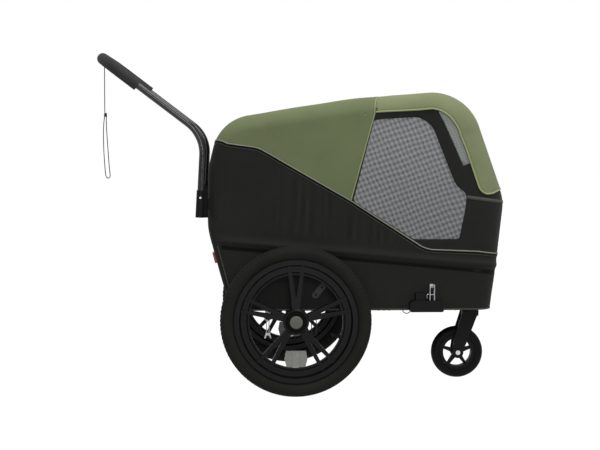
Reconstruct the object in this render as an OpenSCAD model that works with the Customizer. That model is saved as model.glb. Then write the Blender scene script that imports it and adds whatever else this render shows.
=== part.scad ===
// Folding dog stroller and bike trailer with one swivelling front wheel.
// X runs forwards, Y to the left, Z up. The floor is Z = 0 and the rear axle is the reference
// for every X below; the finished part is then slid so that its box is centred on the origin.

/* [Cabin] */
// Outside width of the fabric cabin
cabin_width = 580; // [520:5:600]
// How far the cabin reaches behind the rear axle
cabin_rear = 290; // [270:5:310]
// How far the nose reaches in front of the rear axle
cabin_front = 715; // [680:5:760]
// Height of the cabin's lower edge
floor_height = 278; // [274:1:284]
// Height of the roof at its front corner
roof_height = 1011; // [960:5:1060]
// Height of the roof at its rear corner
roof_rear_height = 913; // [890:5:940]
// Thickness of the fabric walls
wall = 1.5; // [1:0.25:3]
// Thickness of the floor board
floor_board = 5; // [3:1:8]

/* [Frame] */
// Side of the square base tubes
base_tube = 24; // [20:1:25]
// Wall of all frame tubes
tube_wall = 1.5; // [1.2:0.1:2.5]
// Diameter of the sloping side rails
rail_d = 25; // [20:1:26]
// Diameter of the two folding hoops
hoop_d = 22; // [18:1:23]
// Diameter of the corner posts
post_d = 18; // [14:1:20]
// Corner radius of the hoops
hoop_bend = 55; // [45:5:70]
// Diameter of the nose bow
bow_d = 16; // [12:1:18]
// Diameter of the four hinge pins
hinge_pin_d = 8; // [6:1:9]

/* [Handle] */
// How far the axis of each handle tube stands outside the cabin's side
handle_spread = 10; // [8:0.5:15]
// Diameter of the handle tube
handle_d = 22; // [19:1:23]
// Height of the push bar's axis
handle_height = 1117; // [1050:5:1180]
// Distance of the push bar's axis behind the rear axle
handle_reach = 640; // [600:5:680]
// Radius of the handle's elbow
elbow_bend = 125; // [100:5:140]
// Radius of the push bar's corners
grip_bend = 85; // [70:5:100]
// Diameter of the foam grip
grip_d = 38; // [32:1:42]
// Length of foam along each side arm, measured from the bar's axis
grip_arm = 152; // [130:5:180]
// Outside diameter of the handle's sockets
socket_d = 27; // [26:0.5:28]
// Length of the handle's sockets
socket_length = 90; // [70:5:100]
// Diameter of the snap buttons
snap_d = 7; // [5:0.5:9]

/* [Rear wheels] */
// Outside diameter of the tyres
tyre_d = 500; // [480:5:510]
// Width of the tyres
tyre_width = 47; // [38:1:50]
// Clear space between the cabin's side and each tyre
wheel_gap = 31.5; // [26:0.5:42]
// Diameter over the rim's flanges
rim_d = 412; // [406:1:416]
// Diameter of the rim's inner edge
rim_inner_d = 308; // [290:2:320]
// Width of the rim over its flanges
rim_width = 34; // [30:1:36]
// Number of twin spokes
spokes = 5; // [4:1:6]
// Width of one spoke arm
spoke_width = 11; // [9:0.5:16]
// Distance between the arms of a pair at the rim
spoke_spread = 46; // [38:1:54]
// Depth of a spoke at the hub
spoke_depth = 26; // [20:1:30]
// Diameter of the hub's boss
hub_d = 86; // [80:1:96]
// Length of the hub
hub_length = 56; // [50:1:56]
// Diameter of the wheel axles
axle_d = 12; // [10:0.5:15]
// Diameter of the castellated hub ring
hub_ring_d = 70; // [60:1:76]
// Number of notches round the hub ring
hub_notches = 14; // [8:1:18]
// Diameter of the release button
button_d = 42; // [34:1:46]
// Travel of the release button
button_travel = 4; // [2:0.5:5]

/* [Front wheel] */
// Outside diameter of the front tyre
caster_d = 184; // [160:2:190]
// Width of the front tyre
caster_width = 38; // [30:1:42]
// Distance of the swivel axis in front of the rear axle
swivel_x = 639; // [620:1:640]
// Distance that the front axle trails behind the swivel axis
trail = 50; // [30:1:55]
// Diameter of the swivel stem
stem_d = 16; // [12:1:18]
// Thickness of the fork's blades
blade = 7; // [5:0.5:9]
// Number of spokes in the front wheel
caster_spokes = 5; // [4:1:6]

/* [Hitch] */
// Distance of the hitch's middle in front of the rear axle
hitch_x = 436; // [420:2:450]
// Length of the hitch housing
hitch_length = 113; // [100:1:130]
// Diameter of the tow bar's socket
tow_d = 20; // [16:0.5:22]
// Diameter of the hitch pin
hitch_pin_d = 8; // [6:0.5:9]
// Drop of the hitch pin
hitch_drop = 14; // [8:1:16]

/* [Hidden] */
$fn = 64;

run = 0.05;           // radial clearance of every running fit
gap = 0.5;            // clearance between soft walls and the frame
net_gap = 1.1;        // room between the flap and the netting under it
net_thick = 1;
half = cabin_width / 2;
axle_z = tyre_d / 2;
grip_rear = handle_reach + grip_d / 2;
track = cabin_width + 2 * wheel_gap + tyre_width;

// ---- cabin outline: [x, z, corner radius, arc steps, edge rounding before, edge rounding after]
rail_rise_rear = 223;
rail_rise_front = 136;
rear_lean = 0.271;
nose_lean = 0.147;
split_rear = [-(cabin_rear - 74) - rear_lean * rail_rise_rear, floor_height + rail_rise_rear];
split_front = [cabin_front - 53 + nose_lean * rail_rise_front, floor_height + rail_rise_front];
rail_dir = unit(split_front - split_rear);
CORNERS = [
  [-(cabin_rear - 74), floor_height, 0, 0, 26, 26],
  [split_rear[0], split_rear[1], 0, 0, 26, 26],
  [-cabin_rear, floor_height + 273, 200, 3, 28, 30],
  [-cabin_rear, roof_rear_height - 162, 200, 3, 30, 32],
  [-(cabin_rear - 40), roof_rear_height, 150, 6, 36, 52],
  [187, (roof_height + roof_rear_height) / 2 + 23, 1600, 2, 55, 55],
  [277, (roof_height + roof_rear_height) / 2 + 29, 0, 0, 55, 55],
  [cabin_front - 129, roof_height, 175, 8, 58, 108],
  [cabin_front, floor_height + 364, 150, 4, 110, 105],
  [split_front[0], split_front[1], 0, 0, 71, 71],
  [cabin_front - 53, floor_height, 0, 0, 60, 60]
];

function unit(v) = v / norm(v);
function lerp(a, b, t) = a + (b - a) * t;
function corner_xz(k) = [CORNERS[k][0], CORNERS[k][1]];
// A corner's points: itself, or the points of the arc that rounds it.
function corner_points(k) =
  CORNERS[k][2] == 0 ? [[CORNERS[k][0], CORNERS[k][1], CORNERS[k][4]]] :
  let (p = corner_xz(k), u = unit(p - corner_xz(k - 1)), v = unit(corner_xz(k + 1) - p),
       turn = acos(u * v), r = CORNERS[k][2], start = p - u * r * tan(turn / 2),
       centre = start + r * [u[1], -u[0]], steps = CORNERS[k][3])
  [for (i = [0:steps]) let (a = turn * i / steps)
    [centre[0] + r * (-u[1] * cos(a) + u[0] * sin(a)),
     centre[1] + r * (u[0] * cos(a) + u[1] * sin(a)),
     lerp(CORNERS[k][4], CORNERS[k][5], i / steps)]];
OUTLINE = [for (k = [0:len(CORNERS) - 1]) each corner_points(k)];
LAST = len(OUTLINE) - 1;
nose_reach = max([for (p = OUTLINE) p[0]]);
slide = (grip_rear - nose_reach) / 2;   // centres the part's box on the origin
// Place in OUTLINE of the first point of a corner
function first_of(k) = k == 0 ? 0 : first_of(k - 1) + CORNERS[k - 1][3] + 1;
AT_SPLIT_REAR = first_of(1);
AT_PIPING = first_of(4) + 1;
AT_SEAM = first_of(6);
AT_NET = first_of(7) + 3;
AT_SILL = first_of(8);
AT_SPLIT_FRONT = first_of(9);

function xz(k) = [OUTLINE[k][0], OUTLINE[k][1]];
function inward(d) = [d[1], -d[0]];
function normal(k) =
  k == 0 ? [1, 0] : k == LAST ? [-1, 0] :
  k == AT_SPLIT_REAR ? rail_dir : k == AT_SPLIT_FRONT ? -rail_dir :
  inward(unit(unit(xz(k) - xz(k - 1)) + unit(xz(k + 1) - xz(k))));
// A point of the cabin's skin: station k, angle a round the edge (0 at the side, 90 on top),
// side -1 or 1, and depth below the outer face.
function skin(k, a, side, depth) =
  let (rho = OUTLINE[k][2], inset = rho * (1 - sin(a)) + depth * sin(a), p = xz(k) + inset * normal(k))
  [p[0], side * (half - rho * (1 - cos(a)) - depth * cos(a)), p[1]];
function skin_row(k, a0, depth) =
  let (steps = 5)
  [each [for (i = [0:steps]) skin(k, lerp(a0, 90, i / steps), -1, depth)],
   each [for (i = [steps:-1:0]) skin(k, lerp(a0, 90, i / steps), 1, depth)]];
// The flat side of the cabin starts where the edge's rounding ends.
function side_point(k) = xz(k) + OUTLINE[k][2] * normal(k);

// A closed sheet between two grids of points with the same numbers of rows and columns
module sheet(outer, inner) {
  rows = len(outer);
  cols = len(outer[0]);
  count = rows * cols;
  function at(layer, i, j) = layer * count + i * cols + j;
  function quad(a, b, c, d) = [[a, b, c], [a, c, d]];
  polyhedron(
    points = [each [for (row = outer) each row], each [for (row = inner) each row]],
    faces = [
      for (i = [0:rows - 2], j = [0:cols - 2])
        each quad(at(0, i, j), at(0, i, j + 1), at(0, i + 1, j + 1), at(0, i + 1, j)),
      for (i = [0:rows - 2], j = [0:cols - 2])
        each quad(at(1, i, j), at(1, i + 1, j), at(1, i + 1, j + 1), at(1, i, j + 1)),
      for (j = [0:cols - 2]) each quad(at(0, 0, j), at(1, 0, j), at(1, 0, j + 1), at(0, 0, j + 1)),
      for (j = [0:cols - 2])
        each quad(at(0, rows - 1, j), at(0, rows - 1, j + 1), at(1, rows - 1, j + 1), at(1, rows - 1, j)),
      for (i = [0:rows - 2]) each quad(at(0, i, 0), at(0, i + 1, 0), at(1, i + 1, 0), at(1, i, 0)),
      for (i = [0:rows - 2])
        each quad(at(0, i, cols - 1), at(1, i, cols - 1), at(1, i + 1, cols - 1), at(0, i + 1, cols - 1))
    ]);
}

// A band of the cabin's skin from station a to station b
module skin_band(a, b, edge = [0, 0], depth = 0, thick = wall) {
  function start(k) = lerp(edge[0], edge[1], (k - a) / (b - a));
  sheet([for (k = [a:b]) skin_row(k, start(k), depth)],
        [for (k = [a:b]) skin_row(k, start(k), depth + thick)]);
}

// Side panels are drawn in X and Z and stand at the cabin's side (side is -1 or 1).
module side_plate(side, depth, thick) {
  y = side > 0 ? half - depth - thick : -half + depth;
  translate([0, y + thick, 0]) rotate([90, 0, 0]) linear_extrude(thick) children();
}

// ---- tubes
module frame_of(x, y, z, o) {
  multmatrix([[x[0], y[0], z[0], o[0]], [x[1], y[1], z[1], o[1]], [x[2], y[2], z[2], o[2]], [0, 0, 0, 1]])
    children();
}
function any_normal(d) = unit(abs(d[1]) < 0.9 ? cross(d, [0, 1, 0]) : cross(d, [1, 0, 0]));
module rod(p, q, r) {
  d = unit(q - p);
  x = any_normal(d);
  frame_of(x, cross(d, x), d, p) cylinder(r = r, h = norm(q - p));
}
function trim_length(p, i, bends) =
  i == 0 || i == len(p) - 1 ? 0 :
  let (u = unit(p[i] - p[i - 1]), v = unit(p[i + 1] - p[i])) bends[i] * tan(acos(u * v) / 2);
// A bent rod through points p, with bend radius bends[i] at point i. A bore of radius hole runs along it.
// The straight lengths reach a little way over the bends, which are a hair thinner.
module bent_rod(p, bends, r, hole = 0) {
  n = len(p) - 1;
  for (i = [0:n - 1]) {
    d = unit(p[i + 1] - p[i]);
    a = p[i] + d * (trim_length(p, i, bends) - (i > 0 ? bend_lap : 0));
    b = p[i + 1] - d * (trim_length(p, i + 1, bends) - (i < n - 1 ? bend_lap : 0));
    difference() {
      rod(a, b, r);
      if (hole > 0) rod(a - d, b + d, hole);
    }
  }
  for (i = [1:1:n - 1]) {
    u = unit(p[i] - p[i - 1]);
    v = unit(p[i + 1] - p[i]);
    w = unit(v - (u * v) * u);
    start = p[i] - u * trim_length(p, i, bends);
    frame_of(-w, u, cross(-w, u), start + w * bends[i])
      rotate_extrude(angle = acos(u * v)) translate([bends[i], 0]) difference() {
        circle(r - bend_thin);
        if (hole > 0) circle(hole + bend_thin);
      }
  }
}
bend_lap = 1;
bend_thin = 0.04;
module bent_tube(p, bends, d, thick) { bent_rod(p, bends, d / 2, d / 2 - thick); }
module tube(p, q, d, thick) { bent_tube([p, q], [0, 0], d, thick); }
// A disc or bore along Y, centred on [x, y, z]
module across(p, r, length) { translate(p) rotate([90, 0, 0]) cylinder(r = r, h = length, center = true); }
module both() { children(); mirror([0, 1, 0]) children(); }
module placed() { translate([slide, 0, 0]) children(); }

// ---- places worked out from the sizes
function rail_z(x) = split_rear[1] + (x - split_rear[0]) * rail_dir[1] / rail_dir[0];
frame_y = half - wall - gap - 1 - max(rail_d, hoop_d) / 2;
base_y = half - wall - gap - base_tube / 2;
base_z = floor_height + wall + gap;
base_top = base_z + base_tube;
base_rear = -(cabin_rear - 97);
base_front = cabin_front - 113;
hinge_rise = rail_d / 2 + hoop_d / 2 + 4;
hinge_rear = [-(cabin_rear - 53), rail_z(-(cabin_rear - 53)) + hinge_rise];
hinge_front = [cabin_front - 103, rail_z(cabin_front - 103) + hinge_rise];
eye_r = hinge_pin_d / 2 + 8;
eye_thick = 14;
ear_thick = 4;
block_reach = eye_r + 1;       // half length of a hinge block along its rail
upright_lean = 3;
leg_foot = [-(cabin_rear - 29), hinge_rear[1] + 77];
hoop_drop = 76;                // how far the rear hoop's bar lies below the roof's corner
leg_top = [leg_foot[0] + (roof_rear_height - hoop_drop - leg_foot[1]) * tan(upright_lean),
           roof_rear_height - hoop_drop];
knee = [cabin_front - 146, roof_height - 269];
hoop_top = [cabin_front - 259, roof_height - 27];
handle_y = half + handle_spread;
handle_axis = [-(cabin_rear + 25), floor_height + 357];   // the middle of the sockets
handle_foot = handle_axis[1] - 30;
elbow_z = floor_height + 583;
function handle_at(z) = [handle_axis[0] + (z - handle_axis[1]) * tan(upright_lean), z];
bar = [-handle_reach, handle_height];
snap_z = handle_axis[1] + 21;
hub_front = 20;                // the hub ring's seat, measured outwards from the tyre's middle plane
bearing_r = 14;
bearing_w = 8;
button_z = hub_front + 6.8;
beam_end = track / 2 - 37;
caster_axle = [swivel_x - trail, 0, caster_d / 2];
fork_gap = caster_width / 2 + 3;
crown_top = floor_height - 35.3;
tow_y = half + 0.3 + 15;
tow_z = floor_height + 14;

function at_y(p, y) = [p[0], y, p[1]];

// ---- chassis
module base_frame() color([0.10, 0.10, 0.11]) placed() {
  side_length = base_front - base_rear;
  cross_length = 2 * base_y - base_tube;
  both() translate([base_rear, base_y - base_tube / 2, base_z]) box_tube([side_length, base_tube], 0);
  for (x = [base_rear, base_front - base_tube])
    translate([x, -cross_length / 2, base_z]) box_tube([cross_length, base_tube], 90);
}
// A square tube along X, or along Y when turned by 90 degrees, from its lowest corner
module box_tube(size, turn) {
  translate([turn > 0 ? size[1] : 0, 0, 0]) rotate([0, 0, turn]) difference() {
    cube([size[0], size[1], size[1]]);
    translate([-1, tube_wall, tube_wall]) cube([size[0] + 2, size[1] - 2 * tube_wall, size[1] - 2 * tube_wall]);
  }
}

post_room = 10;                // the board's notches leave this much before and behind the leaning posts
post_rear = [base_rear + 12, hinge_rear[0] + 4];
post_front = [base_front - 12, hinge_front[0] - 2];

module floor_board() color([0.12, 0.12, 0.12]) placed() {
  y = half - wall - gap - 0.5;
  rear = base_rear - 22;
  front = base_front + 50;
  translate([0, 0, base_top]) difference() {
    linear_extrude(floor_board) polygon([
      [rear, -y + 26], [base_rear, -y], [base_front, -y], [front, -y + 62],
      [front, y - 62], [base_front, y], [base_rear, y], [rear, y - 26]]);
    for (x = [post_rear[0], post_front[0]]) both()
      translate([x - post_d / 2 - post_room, frame_y - post_d / 2 - 3, -1])
        cube([post_d + 2 * post_room, 60, floor_board + 2]);
  }
}

// Children drawn along a rail: x along it, y above its axis, from the point below a hinge
module on_rail(hinge) {
  foot = [hinge[0], rail_z(hinge[0])];
  translate([foot[0], 0, foot[1]]) rotate([0, -rail_angle, 0]) rotate([90, 0, 0])
    translate([hinge_rise * sin(rail_angle), 0, 0]) children();
}
rail_angle = atan2(rail_dir[1], rail_dir[0]);
pin_rise = hinge_rise * cos(rail_angle);

module side_rail() {
  a = [hinge_rear[0], rail_z(hinge_rear[0])] + rail_dir * (block_reach + 0.1 + hinge_rise * sin(rail_angle));
  b = [hinge_front[0], rail_z(hinge_front[0])] - rail_dir * (block_reach + 0.1 - hinge_rise * sin(rail_angle));
  tube(at_y(a, frame_y), at_y(b, frame_y), rail_d, tube_wall);
}
module side_rail_left() color([0.12, 0.12, 0.13]) placed() side_rail();
module side_rail_right() color([0.12, 0.12, 0.13]) placed() mirror([0, 1, 0]) side_rail();

block_low = -(rail_d / 2 + 2);
block_high = hinge_rise - eye_r - 1;
module hinge_block() {
  half_w = eye_thick / 2 + 0.3 + ear_thick;
  difference() {
    linear_extrude(2 * half_w, center = true) {
      translate([-block_reach, block_low]) square([2 * block_reach, pin_rise - block_low]);
      translate([0, pin_rise]) circle(block_reach);
    }
    // the slot between the ears, and the pin's hole
    translate([-50, block_high, -eye_thick / 2 - 0.3]) cube([100, 100, eye_thick + 0.6]);
    translate([0, pin_rise, 0]) cylinder(r = hinge_pin_d / 2 + 0.02, h = 100, center = true);
  }
}
module hinge_blocks() color([0.08, 0.08, 0.08]) placed() both() translate([0, frame_y, 0]) {
  on_rail(hinge_rear) hinge_block();
  on_rail(hinge_front) hinge_block();
}
module hinge_pins() color([0.6, 0.6, 0.62]) placed() both() translate([0, frame_y, 0])
  for (h = [hinge_rear, hinge_front])
    on_rail(h) translate([0, pin_rise, 0])
      cylinder(d = hinge_pin_d, h = eye_thick + 0.6 + 2 * ear_thick, center = true);

module corner_posts() color([0.12, 0.12, 0.13]) placed() both() translate([0, frame_y, 0]) {
  post(post_rear, hinge_rear);
  post(post_front, hinge_front);
}
module post(xs, hinge) {
  top = rail_z(xs[1]);
  difference() {
    tube([xs[0], 0, base_top - 10], [xs[1], 0, top], post_d, tube_wall);
    translate([xs[0] - 50, -50, base_top - 100]) cube([100, 100, 100]);
    on_rail(hinge) translate([-100, block_low, -50]) cube([200, 100, 100]);
  }
}

module axle_beam() color([0.10, 0.10, 0.11]) placed() difference() {
  union() {
    across([0, 0, axle_z], 16, 2 * beam_end);
    // saddles that carry the base tubes
    both() translate([0, base_y, 0]) rotate([90, 0, 0]) linear_extrude(base_tube, center = true)
      polygon([[-34, base_z], [-20, axle_z - 14], [20, axle_z - 14], [34, base_z]]);
  }
  both() across([0, beam_end, axle_z], axle_d / 2 + run, 140);
  across([0, 0, axle_z], 13, 2 * beam_end - 150);
}

// ---- rear wheels: drawn with their axis along Z and their outer face upwards
module wheel_place(side) {
  placed() mirror([0, side > 0 ? 1 : 0, 0]) translate([0, -track / 2, axle_z]) rotate([90, 0, 0]) children();
}

module axle() difference() {
  union() {
    translate([0, 0, -97]) cylinder(d = axle_d, h = 97 + hub_front + 0.5);
    translate([0, 0, -37]) cylinder(d = axle_d + 8, h = 37 - hub_length / 2 - 0.3);
    translate([0, 0, hub_front + 0.3]) cylinder(d = axle_d + 6, h = 2.2);
  }
  translate([0, 0, button_z - button_travel - 15]) cylinder(r = 3 + run, h = 60);
}
module axle_left() color([0.55, 0.55, 0.57]) wheel_place(1) axle();
module axle_right() color([0.55, 0.55, 0.57]) wheel_place(-1) axle();

module bearings() for (z = [-hub_length / 2, hub_front - bearing_w]) translate([0, 0, z]) difference() {
  cylinder(r = bearing_r, h = bearing_w);
  translate([0, 0, -1]) cylinder(r = axle_d / 2 + run, h = bearing_w + 2);
}
module bearings_left() color([0.6, 0.6, 0.62]) wheel_place(1) bearings();
module bearings_right() color([0.6, 0.6, 0.62]) wheel_place(-1) bearings();

rim_r = rim_d / 2;
well_r = rim_inner_d / 2;
band_web = 10;                 // thickness of the sunk band that the spokes cross
spoke_end = rim_r - 21;        // the spokes run out into the flange's inner wall
// The rim's section: a raised flange outside, a sunk band inside it and a lip round the opening
module rim_section() {
  w = rim_width / 2;
  side = [[well_r, w - 8], [well_r + 5, w - 8], [well_r + 9, band_web / 2], [rim_r - 24, band_web / 2],
          [rim_r - 19, w], [rim_r - 3, w], [rim_r, w - 2], [rim_r, w - 4], [rim_r - 6, w - 5], [rim_r - 8, w - 5]];
  polygon([each side, each [for (i = [len(side) - 1:-1:0]) [side[i][0], -side[i][1]]]]);
}
// How thick the spokes are at each radius, less a margin
module spoke_envelope(margin) {
  deep = spoke_depth / 2 - margin;
  polygon([[hub_d / 2 - 9, -deep], [hub_d / 2 - 9, deep], [hub_d / 2 + 40, deep - 2], [spoke_end, deep - 4],
           [spoke_end, 4 - deep], [hub_d / 2 + 40, 2 - deep]]);
}
// Two arms that leave the hub as one and part on the way to the rim
module twin_spoke(margin) {
  start = hub_d / 2 - 5;
  end = spoke_end;
  inner = (spoke_spread - spoke_width) / 2;
  for (s = [-1, 1]) scale([1, s]) polygon([
    [start, -6 + margin], [start, 12 - margin],
    [end - 3 * margin, inner + spoke_width - margin], [end - 3 * margin, inner + margin]]);
}
module rim() difference() {
  union() {
    rotate_extrude($fn = 128) rim_section();
    intersection() {
      for (i = [0:spokes - 1]) rotate(90 + 360 * i / spokes)
        linear_extrude(spoke_depth, center = true) twin_spoke(0);
      rotate_extrude() spoke_envelope(0);
    }
    rotate_extrude() polygon([[0, -hub_length / 2], [30, -hub_length / 2], [32, -18], [hub_d / 2, -14],
                              [hub_d / 2, hub_front - 4], [hub_d / 2 - 4, hub_front], [0, hub_front]]);
  }
  // shallow channels along the front of each arm
  difference() {
    for (i = [0:spokes - 1]) rotate(90 + 360 * i / spokes) linear_extrude(spoke_depth) difference() {
      twin_spoke(3.2);
      circle(hub_d / 2 + 8);
    }
    rotate_extrude() spoke_envelope(1.6);
  }
  translate([0, 0, -50]) cylinder(r = axle_d / 2 + 3, h = 100);
  translate([0, 0, -hub_length / 2 - 1]) cylinder(r = bearing_r + 0.02, h = bearing_w + 1);
  translate([0, 0, hub_front - bearing_w]) cylinder(r = bearing_r + 0.02, h = bearing_w + 1);
}
module rim_left() color([0.09, 0.09, 0.09]) wheel_place(1) rim();
module rim_right() color([0.09, 0.09, 0.09]) wheel_place(-1) rim();

module tyre() rotate_extrude($fn = 128) translate([(tyre_d - tyre_width) / 2, 0]) {
  bead = rim_width / 2 - 5.2;
  low = rim_r - 5.7 - (tyre_d - tyre_width) / 2;
  difference() {
    union() {
      circle(d = tyre_width);
      translate([low, -bead]) square([14, 2 * bead]);
    }
    circle(d = tyre_width - 6);
    translate([low - 1, 3 - bead]) square([15, 2 * bead - 6]);
  }
}
module tyre_left() color([0.12, 0.12, 0.12]) wheel_place(1) tyre();
module tyre_right() color([0.12, 0.12, 0.12]) wheel_place(-1) tyre();

// The black ring that closes the hub, with notches round its rim
module hub_ring() difference() {
  translate([0, 0, hub_front]) cylinder(d = hub_ring_d, h = 9);
  translate([0, 0, hub_front - 1]) cylinder(d = button_d + 0.8, h = 20);
  for (i = [0:hub_notches - 1]) rotate(360 * i / hub_notches)
    translate([hub_ring_d / 2 - 3.5, -2.2, hub_front + 3]) cube([10, 4.4, 10]);
}
module hub_ring_left() color([0.05, 0.05, 0.05]) wheel_place(1) hub_ring();
module hub_ring_right() color([0.05, 0.05, 0.05]) wheel_place(-1) hub_ring();

module hub_button() {
  translate([0, 0, button_z]) rotate_extrude() polygon([
    [0, 0], [button_d / 2, 0], [button_d / 2, 3.5], [button_d / 2 - 2, 5.2], [0, 5.9]]);
  translate([0, 0, button_z - 14]) cylinder(r = 3, h = 15);
}
module hub_button_left() color([0.42, 0.42, 0.40]) wheel_place(1) hub_button();
module hub_button_right() color([0.42, 0.42, 0.40]) wheel_place(-1) hub_button();

module valve() rotate(-20) translate([well_r - 0.3, 0, 0]) rotate([0, -90, 0]) {
  cylinder(d = 12, h = 3);
  cylinder(d = 6, h = 20);
  translate([0, 0, 18]) cylinder(d = 8, h = 12);
}
module valve_left() color([0.10, 0.10, 0.10]) wheel_place(1) valve();
module valve_right() color([0.10, 0.10, 0.10]) wheel_place(-1) valve();

// A three-panelled reflector that stands on the rim's lip
module spoke_reflector() {
  foot = -sqrt(pow(well_r, 2) - pow(31, 2)) + 0.5;
  difference() {
    translate([0, 0, -4]) linear_extrude(12)
      polygon([[-31, foot], [-38, foot + 26], [-33, foot + 53], [33, foot + 53], [38, foot + 26], [31, foot]]);
    for (x = [-13, 13]) translate([x - 0.8, -well_r, 6.5]) cube([1.6, well_r, 10]);
    for (s = [-1, 1]) translate([s * 13, 0, 8]) rotate([0, s * 9, 0])
      translate([s > 0 ? 0 : -60, -well_r, 0]) cube([60, well_r, 20]);
  }
}
module spoke_reflector_left() color([0.75, 0.75, 0.73]) wheel_place(1) spoke_reflector();
module spoke_reflector_right() color([0.75, 0.75, 0.73]) wheel_place(-1) spoke_reflector();

// ---- front caster
module caster_head() color([0.08, 0.08, 0.08]) placed() difference() {
  union() {
    translate([swivel_x, 0, crown_top + 0.3]) cylinder(r = 22, h = base_z - 6 - crown_top - 0.3);
    translate([base_front - base_tube, -45, base_z - 6]) cube([swivel_x + 19 - base_front + base_tube, 90, 6]);
  }
  translate([swivel_x, 0, 0]) cylinder(r = stem_d / 2 + run, h = 500);
}
module caster_fork() color([0.09, 0.09, 0.09]) placed() difference() {
  axle = [caster_axle[0], caster_axle[2]];
  top = crown_top - 4;
  union() {
    translate([swivel_x, 0, crown_top - 8]) cylinder(d = stem_d, h = base_z + 0.3 - crown_top + 9);
    translate([swivel_x, 0, base_z + 0.3]) cylinder(d = stem_d + 6, h = 4);
    translate([swivel_x, 0, crown_top - 20]) intersection() {
      cylinder(r = 34, h = 20);
      translate([-34, -fork_gap - blade, 0]) cube([58, 2 * (fork_gap + blade), 20]);
    }
    both() translate([0, fork_gap, 0]) rotate([90, 0, 0]) translate([0, 0, -blade]) linear_extrude(blade) {
      polygon([[swivel_x - 33, top], [swivel_x + 24, top], [axle[0] + 34, axle[1] + 42],
               [axle[0] + 19, axle[1] + 6], [axle[0] - 19, axle[1] + 6], [axle[0] - 13, axle[1] + 50]]);
      translate(axle) circle(20);
    }
  }
  across(caster_axle, 4 + run, 200);
}
caster_rim_r = caster_d / 2 - 30;
module caster_place() { placed() translate(caster_axle) rotate([90, 0, 0]) children(); }
module caster_rim() color([0.07, 0.07, 0.07]) caster_place() difference() {
  union() {
    rotate_extrude() difference() {
      translate([caster_rim_r - 12, -15]) square([12, 30]);
      translate([caster_rim_r, 0]) circle(4);
    }
    cylinder(r = 15, h = 2 * fork_gap - 1, center = true);
    intersection() {
      for (i = [0:caster_spokes - 1]) rotate(90 + 360 * i / caster_spokes)
        linear_extrude(22, center = true) polygon([[8, -8], [8, 8], [caster_rim_r - 8, 4.5], [caster_rim_r - 8, -4.5]]);
      rotate_extrude() polygon([[0, -11], [0, 11], [caster_rim_r - 8, 7], [caster_rim_r - 8, -7]]);
    }
  }
  cylinder(r = 4 + run, h = 100, center = true);
}
module caster_tyre() color([0.06, 0.06, 0.06]) caster_place() rotate_extrude($fn = 96) difference() {
  translate([caster_d / 2 - caster_width / 2, 0]) {
    circle(d = caster_width);
    translate([-10, -16]) square([12, 32]);
  }
  translate([caster_rim_r - 29.7, -30]) square([30, 60]);
}
module caster_bolt() color([0.7, 0.7, 0.72]) caster_place() {
  cylinder(r = 4, h = 2 * (fork_gap + blade) + 2, center = true);
  for (s = [0, 1]) mirror([0, 0, s]) translate([0, 0, fork_gap + blade + 0.2]) cylinder(r = 8, h = 4);
}

// ---- hitch, on the right side
module hitch_housing() color([0.09, 0.09, 0.09]) placed() difference() {
  e = hitch_length / 2;
  union() {
    translate([hitch_x, -half - 0.3, floor_height - 3]) rotate([90, 0, 0]) linear_extrude(30) polygon([
      [-e, 4], [4 - e, 0], [e - 4, 0], [e, 4], [e, 30], [e - 11, 38], [11 - e, 38], [-e, 30]]);
    translate([hitch_x - 36, -half - 22, floor_height + 34]) cube([30, 21.7, 26]);
  }
  translate([hitch_x - e - 1, -tow_y, tow_z]) rotate([0, 90, 0]) cylinder(d = tow_d, h = hitch_length + 2);
  translate([hitch_x + 19, -tow_y, tow_z]) cylinder(r = hitch_pin_d / 2 + run, h = 60);
}
module hitch_channel() color([0.62, 0.62, 0.64]) placed()
  translate([hitch_x + 19, -half - 0.3, floor_height + 35]) difference() {
    translate([-8.5, -22, 0]) cube([17, 22, 53]);
    // two spaces, with the shelf that stops the pin's knob between them
    translate([-6.5, -30, -1]) cube([13, 28, 20]);
    translate([-6.5, -30, 21]) cube([13, 28, 60]);
    translate([0, half + 0.3 - tow_y, -1]) cylinder(r = hitch_pin_d / 2 + run, h = 60);
  }
module hitch_pin() color([0.7, 0.7, 0.72]) placed() translate([hitch_x + 19, -tow_y, tow_z + tow_d / 2 + 2]) {
  knob = floor_height + 56 + hitch_drop - tow_z - tow_d / 2 - 2;
  cylinder(d = hitch_pin_d, h = knob + 1);
  translate([0, 0, knob]) cylinder(r = 6, h = 6);
}
module hitch_clip() color([0.7, 0.7, 0.72]) placed() {
  y = -half - 10;
  x = hitch_x + 10;
  z = floor_height + 55;
  bent_rod([[x, y, z], [x - 7, y, z], [x - 7, y, z - 16]], [0, 4, 0], 1.5);
}
module tether_loops() color([0.06, 0.06, 0.06]) placed() {
  translate([hitch_x - 62, -base_y, base_z]) rotate([-90, 0, 0])
    rotate_extrude(angle = 180) translate([14, 0]) circle(1.5, $fn = 24);
  bent_rod([[55, -base_y, base_z], [55, -base_y, base_z - 88], [71, -base_y, base_z - 88],
            [71, -base_y, base_z]], [0, 7, 7, 0], 1.5, $fn = 24);
}
module link_plate() color([0.13, 0.13, 0.14]) placed()
  translate([81, -half - 0.3, floor_height + 69]) rotate([90, 0, 0]) rotate(51) linear_extrude(4) difference() {
    union() {
      square([44, 22], center = true);
      for (x = [-22, 22]) translate([x, 0]) circle(11);
    }
    for (x = [-20, 12]) translate([x, 0]) circle(3.5);
  }
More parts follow.
